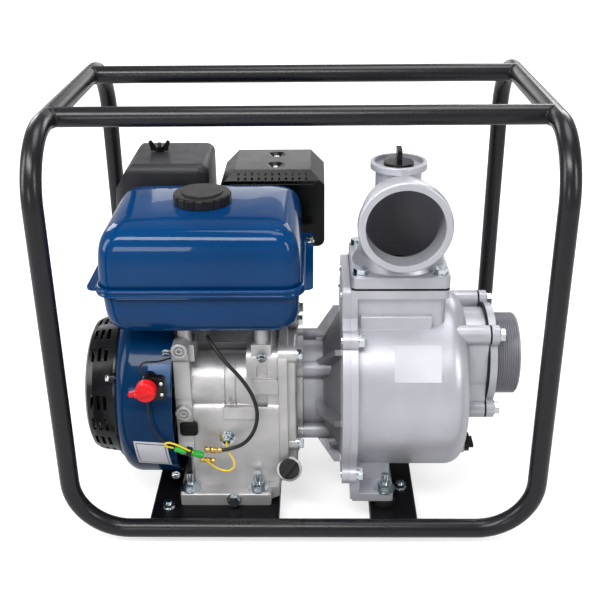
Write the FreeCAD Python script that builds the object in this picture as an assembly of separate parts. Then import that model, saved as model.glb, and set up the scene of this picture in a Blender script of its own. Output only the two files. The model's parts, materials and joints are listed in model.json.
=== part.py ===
"""Petrol engine water pump in a welded tube frame.

Millimetres, +X from the recoil starter to the suction port, +Y away from the
side with the stop switch, +Z up.  The origin is on the ground under the middle
of the frame.
"""
import FreeCAD, Part
import math
import os

V = FreeCAD.Vector

# ---- driving dimensions: frame ------------------------------------------------
TUBE_D = 25.0            # frame tube, outside
TUBE_WALL = 2.0
LEG_X = 307.5            # leg centre lines
LEG_Y = 227.5
RAIL_Z = 20.5            # bottom rail centre line
TOP_Z = 555.5            # top bar centre line
BEND_LOW = 75.0          # bend radii on the centre line
BEND_HIGH = 80.0
TOP_BAR_Y = (-118.0, 126.0)
PLATE_Z = 28.5           # top of both base channels
PLATE_T = 4.0
ENGINE_PLATE_X = (-208.0, -33.0)
PUMP_PLATE_X = (92.0, 155.0)
FOOT_R = 13.5
MOUNT_HOLE_R = 5.2       # clearance for the 10 mm mounting bolts
FOOT_HOLE_R = 4.1        # clearance for the 8 mm foot bolts
FOOT_POINTS = ((-185.0, -193.0), (-185.0, 193.0), (137.0, -148.0), (137.0, 148.0))

# ---- driving dimensions: engine -----------------------------------------------
CRANK_Y = -78.0
CRANK_Z = 160.5
CYL_X = -95.0            # cylinder axis plane
CYL_TILT = 25.0          # cylinder above the horizontal, degrees
BORE_R = 38.5
THROW = 29.0             # half the stroke
ROD_LEN = 105.0
SHAFT_R = 15.0
PUMP_SHAFT_R = 12.7
RUN_FIT = 0.05           # radial running clearance
BASE_X = (-169.0, -44.0)
BASE_Y = (-189.0, 36.0)
BASE_TOP = 47.0
ENGINE_BOLTS = ((-156.0, -174.0), (-62.6, -174.0), (-156.0, 21.0), (-62.6, 21.0))
RING_X = (-169.5, -148.0)  # casting ring that the shroud is fixed to
SHROUD_X = (-248.0, -170.0)
SHROUD_R = 124.0
COVER_X = (-293.0, -248.5)
COVER_ARM = 57.0         # first starter cover arm, degrees from the top
COVER_SCREW_R = 99.0
TANK_X = (-255.0, 0.0)
TANK_Y = (-187.0, 22.0)
TANK_Z = (286.0, 349.0, 430.0)
TANK_SHEET = 1.6
TANK_CORNER = 30.0
CAP_XY = (-130.0, -76.0)
CAP_R = 38.0
SIDE_BOLTS = ((-150.0, 244.0), (-150.0, 106.0), (-78.0, 259.0), (-6.0, 244.0), (-6.0, 106.0),
              (-78.0, 56.0))
COVER_FACE = (-32.0, -20.0, -8.0)
OIL_DRAIN = (-95.0, -189.0, 39.2)
RING_BOSSES = ((-159.0, 262.0), (-159.0, 168.0))
DIP_POINT = (-19.0, -171.0, 76.0)
DIP_TILT = 35.0
DIP_AXIS = (0.0, -math.cos(math.radians(DIP_TILT)), math.sin(math.radians(DIP_TILT)))
ROPE_X = -273.5
ROPE_Y = 12.0
ROPE_Z = CRANK_Z + 50.0
ROPE_LEN = 106.0
SWITCH_POINT = (-198.0, -211.0, 228.0)
SWITCH_R = 13.4
CARB_YZ = (85.0, 239.0)  # carburettor throat axis
CARB_BORE = 10.0
FILTER_X = (-272.0, -135.0)
FILTER_Y = (38.0, 168.0)
FILTER_TOP = 445.0
WING_XY = (-213.0, 112.0)
CHOKE_POINT = (-181.0, 103.6, 239.0)
THROTTLE_POINT = (-200.0, 34.0, 285.6)
MUFFLER_X = (-106.0, 19.0)
MUFFLER_Y = (56.0, 150.0)
MUFFLER_Z = (330.0, 420.0)
MUFFLER_SHEET = 2.0
SHIELD_X = (-118.0, 31.0)
SHIELD_Y = (41.0, 153.0)
SHIELD_Z = (321.0, 435.0)
SHIELD_SCREWS = ((-40.0, 127.0), (-40.0, 75.0))

# ---- driving dimensions: pump -------------------------------------------------
DRUM_Z = 171.0           # drum axis height, on the crank's y
DRUM_R = 123.0
DRUM_END = 221.0
DRUM_WALL = 6.0
FLANGE_R = 137.0
FLANGE_X = (52.7, 63.4, 72.8)
TOWER_Y = (-142.0, -14.0)
TOWER_X = (67.0, 188.0)
OUTLET_Z = 332.0
OUTLET_X = 128.0
PLATE_X = (64.0, 192.0)  # discharge plate
PLATE_TOP = 351.0
CASING_BOLTS = ((-168.0, 273.0), (12.0, 273.0), (-187.0, 80.0), (31.0, 80.0),
                (-124.0, 318.0), (-32.0, 318.0), (-78.0, 46.0))
PUMP_FOOT_BOLTS = ((112.0, -178.0), (112.0, 22.0))
FOOT_UNDER = 36.5        # underside of the pump foot, on its rubber pads
FOOT_TOP = 49.0
PORT_Z = 208.0           # suction port axis height
PORT_R = 56.5            # four inch pipe thread, outside
PORT_BORE = 48.0
PORT_X = (247.5, 250.0, 260.0, 294.0)  # casing face, gasket, flange, end of the thread
PORT_BOLT = 56.0         # bolt offset from the port axis in y and in z
FLAP_ROOM_R = 58.0       # chamber that the check flap swings in
FLAP_HINGE = (244.6, 263.5)
DRAIN_YZ = (-124.0, 90.0)
ELBOW_Z = 429.5
ELBOW_FACE = -175.0
ELBOW_BORE = 49.0
ELBOW_R = 53.0           # outside of the bend
ELBOW_BEND = 70.0        # bend radius on the centre line
COLLAR_R = 58.7
NECK_XY = (125.0, -78.0)
NECK_R = 29.8
DISH = (477.5, 486.5)    # under and upper side of the priming dish
DISH_R = 36.5
DISH_FLOOR = 480.5
FIN_TOP = 503.5

# ---- driving dimensions: wiring ----------------------------------------------------
CABLE_R = 2.6            # stop cable sheath, outside
WIRE_R = 1.2             # single wires, outside
STOP_CABLE = [(-125, -150, 272), (-114, -164, 260), (-100, -175, 246), (-82, -181, 229),
              (-67, -183, 206), (-59, -184, 180), (-61, -184, 155), (-71, -185, 134),
              (-88, -186, 121), (-108, -187, 118)]
SENSOR_WIRE = [(-103, -178, 125), (-103, -181.5, 119), (-99, -184, 110), (-93, -188, 102),
               (-92, -190, 93), (-99, -191, 87), (-110, -191, 88), (-120, -192, 95),
               (-129, -194, 105), (-136, -199, 116), (-145, -206, 127), (-156, -209, 136),
               (-167, -209, 142), (-176, -208.5, 144.5), (-181.5, -208, 142),
               (-181.5, -206.3, 136.8), (-170.5, -204.5, 133.3)]
LOWER_LEAD = [(-199, -205, 210), (-199, -210, 200), (-198, -211, 184), (-195, -209.5, 167),
              (-189, -207, 153), (-180, -203.5, 141), (-170, -201.5, 130.5)]
UPPER_LEAD = [(-197, -206, 242), (-200, -209, 247), (-205, -209.5, 252), (-205, -207.5, 259),
              (-199, -205, 263), (-190, -201, 261), (-181, -193, 257), (-170, -176, 253)]

parts = {}


# ---- shape helpers --------------------------------------------------------------
def box(x0, x1, y0, y1, z0, z1):
    return Part.makeBox(x1 - x0, y1 - y0, z1 - z0, V(x0, y0, z0))


def rod(base, direction, radius, length):
    return Part.makeCylinder(radius, length, V(*base), V(*direction))


def xrod(x0, x1, y, z, radius):
    return rod((x0, y, z), (1, 0, 0), radius, x1 - x0)


def crank_rod(x0, x1, radius):
    return xrod(x0, x1, CRANK_Y, CRANK_Z, radius)


def zrod(x, y, z0, z1, radius):
    return rod((x, y, z0), (0, 0, 1), radius, z1 - z0)


def fuse(*shapes):
    first = shapes[0]
    return first.fuse(list(shapes[1:])).removeSplitter()


def edges_along(shape, axis, keep=None):
    """Straight edges parallel to an axis, optionally only those keep() accepts."""
    chosen = []
    for edge in shape.Edges:
        if not isinstance(edge.Curve, Part.Line):
            continue
        run = edge.Vertexes[-1].Point - edge.Vertexes[0].Point
        if run.Length < 1e-6 or abs(abs(run.normalize().dot(V(*axis))) - 1.0) > 1e-6:
            continue
        if keep is None or keep(edge.CenterOfMass):
            chosen.append(edge)
    return chosen


def round_along(shape, axis, radius, keep=None):
    return shape.makeFillet(radius, edges_along(shape, axis, keep))


def round_at(shape, radius, keep):
    """Fillet every edge whose centre keep() accepts."""
    return shape.makeFillet(radius, [e for e in shape.Edges if keep(e.CenterOfMass)])


def pad_box(x0, x1, y0, y1, z0, z1, corner, top):
    """A box with rounded upright edges and a rounded top rim."""
    body = round_along(box(x0, x1, y0, y1, z0, z1), (0, 0, 1), corner)
    return round_at(body, top, lambda c: abs(c.z - z1) < 1e-6)


def polygon_x(points, x0, x1):
    """Extrude a closed outline of (y, z) points along X."""
    ring = [V(x0, y, z) for y, z in points]
    face = Part.Face(Part.makePolygon(ring + ring[:1]))
    return face.extrude(V(x1 - x0, 0, 0))


def polygon_y(points, y0, y1):
    ring = [V(x, y0, z) for x, z in points]
    face = Part.Face(Part.makePolygon(ring + ring[:1]))
    return face.extrude(V(0, y1 - y0, 0))


def hexagon(base, direction, across_flats, height):
    radius = across_flats / math.sqrt(3.0)
    ring = []
    for k in range(7):
        angle = math.radians(60.0 * k)
        ring.append(V(radius * math.cos(angle), radius * math.sin(angle), 0))
    solid = Part.Face(Part.makePolygon(ring)).extrude(V(0, 0, height))
    solid.Placement = FreeCAD.Placement(V(*base), FreeCAD.Rotation(V(0, 0, 1), V(*direction)))
    return solid


def along(base, direction, distance):
    way = V(*direction).normalize()
    return tuple(V(*base) + way * distance)


def bolt(seat, out, thread_r, length, washer=True):
    """Hex flange bolt seated at a point, head pointing out, shank going in."""
    head = hexagon(along(seat, out, 1.6 if washer else 0.0), out, thread_r * 3.2, thread_r * 1.3)
    shank = rod(along(seat, out, -length), out, thread_r, length + 0.5)
    solids = [head, shank]
    if washer:
        solids.append(rod(seat, out, thread_r * 2.1, 1.6))
    return fuse(*solids)


def stud_nut(seat, thread_r, below, above):
    """Upright bolt with a flange nut on top and its head underneath."""
    x, y, z = seat
    washer = zrod(x, y, z, z + 1.8, thread_r * 2.9)
    nut = hexagon((x, y, z + 1.8), (0, 0, 1), thread_r * 3.2, thread_r * 1.7)
    shank = zrod(x, y, z - below, z + above, thread_r)
    head = hexagon((x, y, z - below - thread_r), (0, 0, 1), thread_r * 3.2, thread_r)
    return fuse(washer, nut, shank, head)


def bent_path(points, radii):
    """Straight runs joined by tangent arcs of the given corner radii."""
    corners = [V(*p) for p in points]
    edges = []
    start = corners[0]
    for i in range(1, len(corners) - 1):
        back = (corners[i - 1] - corners[i]).normalize()
        ahead = (corners[i + 1] - corners[i]).normalize()
        half = 0.5 * (math.pi - back.getAngle(ahead))
        setback = radii[i - 1] * math.tan(half)
        enter = corners[i] + back * setback
        leave = corners[i] + ahead * setback
        to_centre = (back + ahead).normalize()
        centre = corners[i] + to_centre * (radii[i - 1] / math.cos(half))
        middle = centre - to_centre * radii[i - 1]
        edges.append(Part.LineSegment(start, enter).toShape())
        edges.append(Part.Arc(enter, middle, leave).toShape())
        start = leave
    edges.append(Part.LineSegment(start, corners[-1]).toShape())
    return Part.Wire(edges)


def sweep(path, radius):
    first = path.Edges[0]
    start = first.valueAt(first.FirstParameter)
    heading = first.tangentAt(first.FirstParameter)
    ring = Part.Wire(Part.makeCircle(radius, start, heading))
    return path.makePipeShell([ring], True, False)


def cord(name, points, radius):
    """A plain cord: every corner's arc is as large as its runs allow."""
    radii = []
    for i in range(1, len(points) - 1):
        back = V(*points[i - 1]) - V(*points[i])
        ahead = V(*points[i + 1]) - V(*points[i])
        half = 0.5 * (math.pi - back.getAngle(ahead))
        radii.append(0.45 * min(back.Length, ahead.Length) / math.tan(half))
    path = bent_path(points, radii)
    solid = sweep(path, radius)
    ideal = math.pi * radius ** 2 * path.Length
    print(name, "length %.0f" % path.Length, "volume ratio %.3f" % (solid.Volume / ideal),
          "radii", ["%.0f" % r for r in radii])
    return solid


def upright_to_cylinder(shape):
    """Move a shape drawn about +Z at the origin onto the tilted cylinder axis."""
    turned = shape.copy()
    turned.Placement = FreeCAD.Placement(
        V(CYL_X, CRANK_Y, CRANK_Z), FreeCAD.Rotation(V(1, 0, 0), CYL_TILT - 90.0))
    return turned.Solids[0] if len(turned.Solids) == 1 else turned


# ---- frame ------------------------------------------------------------------------
def hoop(side, radius):
    points = [(0, -LEG_Y, RAIL_Z), (side * LEG_X, -LEG_Y, RAIL_Z), (side * LEG_X, -LEG_Y, TOP_Z),
              (side * LEG_X, LEG_Y, TOP_Z), (side * LEG_X, LEG_Y, RAIL_Z), (0, LEG_Y, RAIL_Z)]
    return sweep(bent_path(points, [BEND_LOW, BEND_HIGH, BEND_HIGH, BEND_LOW]), radius)


def channel(x0, x1, holes, hoops):
    """Inverted channel between the bottom rails, coped onto them."""
    reach = LEG_Y - 2.0
    plate = box(x0, x1, -reach, reach, RAIL_Z - TUBE_D / 2, PLATE_Z)
    plate = round_along(plate, (0, 1, 0), 3.0, lambda c: c.z > PLATE_Z - 1)
    plate = plate.cut(box(x0 + PLATE_T, x1 - PLATE_T, -LEG_Y, LEG_Y, 0, PLATE_Z - PLATE_T))
    for x, y, radius in holes:
        plate = plate.cut(zrod(x, y, 0, 50, radius))
    return plate.cut(hoops)


def make_frame():
    solid_hoops = []
    for side, name in ((-1, "frame_left_hoop"), (1, "frame_right_hoop")):
        outer = hoop(side, TUBE_D / 2)
        parts[name] = outer.cut(hoop(side, TUBE_D / 2 - TUBE_WALL))
        solid_hoops.append(outer)
    bars = []
    for y in TOP_BAR_Y:
        bar = xrod(-LEG_X, LEG_X, y, TOP_Z, TUBE_D / 2)
        bar = bar.cut(xrod(-LEG_X, LEG_X, y, TOP_Z, TUBE_D / 2 - TUBE_WALL))
        bars.append(bar.cut(solid_hoops))
    parts["frame_top_bars"] = Part.makeCompound(bars)

    engine_holes = [(x, y, MOUNT_HOLE_R) for x, y in ENGINE_BOLTS]
    engine_holes += [(x, y, FOOT_HOLE_R) for x, y in FOOT_POINTS if x < 0]
    pump_holes = [(x, y, MOUNT_HOLE_R) for x, y in PUMP_FOOT_BOLTS]
    pump_holes += [(x, y, FOOT_HOLE_R) for x, y in FOOT_POINTS if x > 0]
    parts["engine_base_plate"] = channel(*ENGINE_PLATE_X, engine_holes, solid_hoops)
    parts["pump_base_plate"] = channel(*PUMP_PLATE_X, pump_holes, solid_hoops)

    feet = []
    bolts = []
    for x, y in FOOT_POINTS:
        foot = Part.makeCone(FOOT_R - 1.5, FOOT_R, PLATE_Z - PLATE_T, V(x, y, 0))
        feet.append(foot.cut([zrod(x, y, 0, 9, 8.5), zrod(x, y, 0, 40, FOOT_HOLE_R)]))
        stem = [zrod(x, y, 9, 39, 4.0), zrod(x, y, 5, 9, 7.5)]
        stem.append(zrod(x, y, PLATE_Z, PLATE_Z + 1.5, 8.5))
        stem.append(hexagon((x, y, PLATE_Z + 1.5), (0, 0, 1), 13.0, 6.5))
        bolts.append(fuse(*stem))
    parts["rubber_feet"] = Part.makeCompound(feet)
    parts["foot_bolts"] = Part.makeCompound(bolts)


# ---- engine castings -------------------------------------------------------------
def make_crankcase():
    base = round_along(box(*BASE_X, *BASE_Y, PLATE_Z, BASE_TOP), (0, 0, 1), 4.0)
    base = round_at(base, 2.0, lambda c: c.z > BASE_TOP - 0.1)
    toe = polygon_y([(BASE_X[1] - 2, 30), (-33, 37), (-33, 52), (BASE_X[1] - 2, 52)], -178, 25)
    sump = round_along(box(-155, COVER_FACE[0], -166, 10, 40, 176), (1, 0, 0), 13.0,
                       lambda c: c.z > 170)
    sump = round_along(sump, (0, 0, 1), 6.0, lambda c: c.x < -150)
    bulge = xrod(-150, -64, -122, 190, 41)
    shoulder = round_along(box(-74, COVER_FACE[0], -161, 6, 60, 252), (1, 0, 0), 16.0,
                           lambda c: c.z > 200)
    back = box(-150, COVER_FACE[0], -100, 6, 60, 236)
    ring = crank_rod(*RING_X, 92)
    ring_top = round_along(box(*RING_X, -168, -60, 176, 262), (1, 0, 0), 12.0)
    ring_low = round_along(box(*RING_X, -168, -60, 92, 180), (1, 0, 0), 12.0)
    barrel = upright_to_cylinder(zrod(0, 0, 50, 160, 46))
    shell = fuse(base, toe, sump, bulge, shoulder, back, ring, ring_top, ring_low, barrel)

    # ring bosses, bracket posts, cast pads and parting lines on the front
    for y, z in ((-160, 250), (-160, 110)):
        shell = fuse(shell, xrod(*RING_X, y, z, 11))
    for x, z in RING_BOSSES:
        boss = round_at(rod((x, -177, z), (0, 1, 0), 11.0, 24), 1.5, lambda c: c.y < -176.9)
        shell = fuse(shell, boss)
    extras = []
    for x in (-155.0, -54.0):
        extras.append(box(x - 13, x + 13, -158, -120, 238, 262))
        extras.append(zrod(x, -146, 255, TANK_Z[0] - 0.5, 9.5))
    extras.append(rod((-97, -173, 184), (0, 1, 0), 2.0, 12))
    pad = round_along(box(-106, -62, -168.2, -160, 154, 173), (0, 1, 0), 2.0)
    ridge = round_along(box(-66, COVER_FACE[0], -166, -150, 192, 214), (0, 1, 0), 3.0)
    shell = fuse(shell, *extras, pad, ridge)

    fins = []
    for k in range(8):
        plate = round_along(box(-55, 55, -52, 52, 84 + 9 * k, 86.6 + 9 * k), (0, 0, 1), 12.0)
        fins.append(upright_to_cylinder(plate))
    shell = fuse(shell, *fins)

    cavity = xrod(-140, COVER_FACE[0], CRANK_Y, CRANK_Z, 63)
    sump_room = box(-140, COVER_FACE[0], -150, -6, 55, 160)
    liner = upright_to_cylinder(zrod(0, 0, 40, 160, BORE_R))
    shaft = crank_rod(RING_X[0] - 1, -139, SHAFT_R + 4)
    bearing = crank_rod(RING_X[0] - 1, -152, 26)
    shell = shell.cut([cavity, sump_room, liner, shaft, bearing])
    marks = []
    for x, z in RING_BOSSES:
        marks.append(rod((x, -178, z), (0, 1, 0), 7.0, 4.5).cut(rod((x, -178, z), (0, 1, 0), 5.2, 9)))
        marks.append(rod((x, -178, z), (0, 1, 0), 5.3, 2.0))
        marks.append(hexagon((x, -178, z), (0, 1, 0), 5.0, 6.0))
    for x in (-104.0, -90.0):
        groove = xrod(x, x + 1.4, -122, 190, 42).cut(xrod(x, x + 1.4, -122, 190, 40))
        marks.append(groove.common(box(x, x + 2, -170, -140, 160, 226)))
    for x1, z0, z1 in ((-46.0, 216.0, 233.0), (-47.0, 131.0, 190.0)):
        marks.append(round_along(box(-61, x1, -163, -158, z0, z1), (0, 1, 0), 2.5))
    parts["crankcase"] = shell.cut(marks)


def make_side_cover():
    x0, step, x1 = COVER_FACE
    lower = round_along(box(x0, step, -165, 9, 40, 256), (1, 0, 0), 26.0)
    upper = round_along(box(step, x1, -158, 2, 46, 249), (1, 0, 0), 24.0)
    upper = round_at(upper, 4.0, lambda c: c.x > x1 - 0.1)
    hub = crank_rod(x1, 0, 66)
    pads = [xrod(x0, x1 + 1, y, z, 11) for y, z in SIDE_BOLTS]
    arms = [xrod(x1, 0, CRANK_Y + a, CRANK_Z + b, 11) for a in (-49, 49) for b in (-49, 49)]
    neck = rod(along(DIP_POINT, DIP_AXIS, -34), DIP_AXIS, 17.0, 34)
    body = fuse(lower, upper, hub, neck, *pads, *arms)
    room = round_along(box(x0, -13, -146, -10, 62, 236), (1, 0, 0), 16.0)
    seat = crank_rod(x0, -10, 36)
    room = room.cut(seat)
    body = body.cut([room, crank_rod(x0, -14, 26), crank_rod(x0, 0, PUMP_SHAFT_R + 3)])
    return body.cut(dipstick_room())


def dipstick_room():
    """The filler bore and the space that the screwed cap turns in."""
    bore = rod(along(DIP_POINT, DIP_AXIS, -50), DIP_AXIS, 9.5, 52)
    return bore.fuse(rod(DIP_POINT, DIP_AXIS, 15.0, 30))


def make_dipstick():
    cap = rod(along(DIP_POINT, DIP_AXIS, 0.4), DIP_AXIS, 14.0, 10.0)
    cap = round_at(cap, 1.5, lambda c: (c - V(*DIP_POINT)).Length > 9)
    grip = box(-14, 14, -3.2, 3.2, 0, 6)
    grip = round_along(grip, (0, 0, 1), 3.0)
    turn = FreeCAD.Rotation(V(0, 0, 1), V(*DIP_AXIS)).multiply(FreeCAD.Rotation(V(0, 0, 1), 52))
    grip.Placement = FreeCAD.Placement(V(*along(DIP_POINT, DIP_AXIS, 9.5)), turn)
    plug = rod(along(DIP_POINT, DIP_AXIS, -12), DIP_AXIS, 9.2, 13)
    blade = rod(along(DIP_POINT, DIP_AXIS, -34), DIP_AXIS, 2.0, 25)
    parts["dipstick"] = fuse(cap, grip, plug, blade)


def make_cylinder_head():
    block = round_along(box(-50, 50, -44, 44, 160, 198), (0, 0, 1), 10.0)
    fins = []
    for k in range(4):
        fins.append(round_along(box(-57, 57, -54, 54, 161 + 9 * k, 164 + 9 * k), (0, 0, 1), 12.0))
    # ports: inlet on the left, exhaust on the upper side
    inlet = rod((-60, 6, 180), (1, 0, 0), 17.0, 30)
    exhaust = rod((36, -58, 180), (0, 1, 0), 17.5, 30)
    head = fuse(block, inlet, exhaust, *fins)
    chamber = zrod(0, 0, 159, 166, BORE_R - 4)
    inlet_bore = rod((-61, 6, 180), (1, 0, 0), 11.0, 60)
    exhaust_bore = rod((36, -59, 180), (0, 1, 0), 12.0, 50)
    plug_hole = rod((-34, -62, 190), (0.1, 0.75, -0.5), 11.0, 24)
    head = head.cut([chamber, inlet_bore, exhaust_bore, plug_hole])
    parts["cylinder_head"] = upright_to_cylinder(head)

    cover = round_along(box(-44, 44, -38, 38, 198, 230), (0, 0, 1), 14.0)
    cover = round_at(cover, 8.0, lambda c: c.z > 229)
    rim = round_along(box(-47, 47, -41, 41, 198, 202), (0, 0, 1), 14.0)
    bosses = []
    for x in (-38, 38):
        for y in (-32, 32):
            bosses.append(zrod(x, y, 198, 214, 8))
    cover = fuse(cover, rim, *bosses)
    cover = cover.cut(round_along(box(-40, 40, -34, 34, 197, 226), (0, 0, 1), 12.0))
    parts["valve_cover"] = upright_to_cylinder(cover)

    way = V(0.1, 0.75, -0.5).normalize()
    tip = V(-34, -62, 190)
    hexed = hexagon(tuple(tip + way * 12), tuple(-way), 16.0, 10.0)
    porcelain = rod(tuple(tip + way * 4), tuple(-way), 5.5, 24)
    terminal = rod(tuple(tip - way * 19), tuple(-way), 3.2, 8)
    thread = rod(tuple(tip + way * 36), tuple(-way), 7.0, 26)
    parts["spark_plug"] = upright_to_cylinder(fuse(hexed, porcelain, terminal, thread))
    parts["cylinder_head"] = parts["cylinder_head"].cut(parts["spark_plug"])


def make_engine_fasteners():
    mounts = []
    for x, y in ENGINE_BOLTS:
        mounts.append(stud_nut((x, y, BASE_TOP), 5.0, BASE_TOP - PLATE_Z + PLATE_T, 26.0))
    for x, y in PUMP_FOOT_BOLTS:
        mounts.append(stud_nut((x, y, FOOT_TOP), 5.0, FOOT_TOP - PLATE_Z + PLATE_T, 24.0))
    parts["base_mount_bolts"] = Part.makeCompound(mounts)
    small = [bolt((COVER_FACE[2] + 1, y, z), (1, 0, 0), 4.0, 30.0) for y, z in SIDE_BOLTS]
    small.append(bolt(OIL_DRAIN, (0, -1, 0), 4.8, 14.0))
    parts["engine_bolts"] = Part.makeCompound(small)
    sensor = hexagon((-103, -166, 125), (0, -1, 0), 17.0, 8.0)
    sensor = fuse(sensor, rod((-103, -166, 125), (0, -1, 0), 11.0, 2.0),
                  rod((-103, -174, 125), (0, -1, 0), 5.0, 4.0),
                  rod((-103, -166, 125), (0, 1, 0), 7.0, 34.0))
    parts["oil_level_switch"] = sensor


# ---- engine running gear -----------------------------------------------------------
def web(x0, x1):
    """Crank web: a counterweight sector opposite the pin, drawn upright."""
    disc = rod((x0, 0, 0), (1, 0, 0), 54.0, x1 - x0)
    slot = [box(x0, x1, 24, 60, -60, 20), box(x0, x1, -60, -24, -60, 20)]
    lower = box(x0, x1, -60, 60, -60, -44)
    return disc.cut(slot + [lower])


def make_crank():
    pin_x = (-12.5, 12.5)
    left = [web(-25, pin_x[0] - 0.5), rod((-157.5, 0, 0), (1, 0, 0), SHAFT_R, 133)]
    right = [web(pin_x[1] + 0.5, 25), rod((24, 0, 0), (1, 0, 0), SHAFT_R, 57),
             rod((80, 0, 0), (1, 0, 0), PUMP_SHAFT_R, 127)]
    halves = [upright_to_cylinder(fuse(*left)), upright_to_cylinder(fuse(*right))]
    parts["crankshaft"] = Part.makeCompound(halves)

    # rod with its pin, at the bottom of the stroke
    big = rod((-10, 0, -THROW), (1, 0, 0), 26.0, 20)
    pin = rod((pin_x[0], 0, -THROW), (1, 0, 0), SHAFT_R, 25)
    shank = box(-6, 6, -9, 9, -THROW + 10, ROD_LEN - THROW - 6)
    small = rod((-10, 0, ROD_LEN - THROW), (1, 0, 0), 14.0, 20)
    wrist_z = ROD_LEN - THROW
    rod_body = fuse(big, pin, shank, small).cut(rod((-40, 0, wrist_z), (1, 0, 0), 9.0, 80))
    parts["connecting_rod"] = upright_to_cylinder(rod_body)

    skirt = zrod(0, 0, wrist_z - 17, wrist_z + 25, BORE_R - 0.08)
    for k in range(3):
        groove = zrod(0, 0, wrist_z + 20 - 5 * k, wrist_z + 21.5 - 5 * k, BORE_R + 1)
        skirt = skirt.cut(groove.cut(zrod(0, 0, wrist_z, wrist_z + 30, BORE_R - 3)))
    skirt = skirt.cut(zrod(0, 0, wrist_z - 18, wrist_z + 15, BORE_R - 6))
    bosses = rod((-36, 0, wrist_z), (1, 0, 0), 13.0, 72)
    bosses = bosses.common(zrod(0, 0, wrist_z - 17, wrist_z + 20, BORE_R - 5))
    bosses = bosses.cut(box(-10.5, 10.5, -30, 30, wrist_z - 20, wrist_z + 15))
    wrist = rod((-34, 0, wrist_z), (1, 0, 0), 9.0, 68)
    parts["piston"] = upright_to_cylinder(fuse(skirt, bosses, wrist))

    bearings = []
    for x0, x1 in ((RING_X[0], -152), (-32, -14)):
        ring = crank_rod(x0, x1, 26.0).cut(crank_rod(x0, x1, SHAFT_R + RUN_FIT))
        bearings.append(ring)
    parts["crank_bearings"] = Part.makeCompound(bearings)


def make_flywheel():
    rim = crank_rod(-222, -192, 100).cut(crank_rod(-214, -191, 84))
    hub = crank_rod(-232, -186, 24)
    cup = crank_rod(-251, -222, 40).cut(crank_rod(-252, -226, 36))
    wheel = fuse(rim, hub, cup)
    for k in range(16):
        blade = box(-243, -221, -2, 2, 58, 98)
        blade.rotate(V(0, 0, 0), V(0, 0, 1), 18)
        blade.translate(V(-232 * (1 - math.cos(math.radians(18))), 0, 0))
        blade.translate(V(0, 232 * math.sin(math.radians(18)), 0))
        blade.translate(V(0, CRANK_Y, CRANK_Z))
        blade.rotate(V(0, CRANK_Y, CRANK_Z), V(1, 0, 0), 22.5 * k)
        wheel = wheel.fuse(blade)
    wheel = wheel.removeSplitter()
    parts["flywheel_fan"] = wheel.cut(crank_rod(-260, -180, SHAFT_R))


# ---- engine covers -----------------------------------------------------------------
def lathe_x(points, y, z):
    """Turn a closed (x, radius) outline about an axis along X through (y, z)."""
    ring = [V(px, y, z + pr) for px, pr in points]
    face = Part.Face(Part.makePolygon(ring + ring[:1]))
    return face.revolve(V(0, y, z), V(1, 0, 0), 360)


def make_shroud():
    x0, x1 = SHROUD_X
    drum = crank_rod(x0, x1, SHROUD_R)
    duct = box(x0, x1, CRANK_Y, 52, 150, 281)
    duct = round_along(duct, (1, 0, 0), 26.0, lambda c: c.y > 50)
    outer = round_at(fuse(drum, duct), 24.0, lambda c: abs(c.x - x0) < 0.5)
    inner = fuse(crank_rod(x0 + 2, x1 + 1, SHROUD_R - 2),
                 round_along(box(x0 + 2, x1 + 1, CRANK_Y, 50, 152, 279), (1, 0, 0), 24.0,
                             lambda c: c.y > 48))
    inner = round_at(inner, 22.0, lambda c: abs(c.x - x0 - 2) < 0.5)
    parts["fan_shroud"] = outer.cut([inner, crank_rod(x0 - 1, x0 + 4, 90)])


def about_crank(shape, angle):
    """Turn a shape drawn above the origin's X axis to an angle about the crank."""
    turned = shape.copy()
    turned.translate(V(0, CRANK_Y, CRANK_Z))
    turned.rotate(V(0, CRANK_Y, CRANK_Z), V(1, 0, 0), angle)
    return turned


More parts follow.
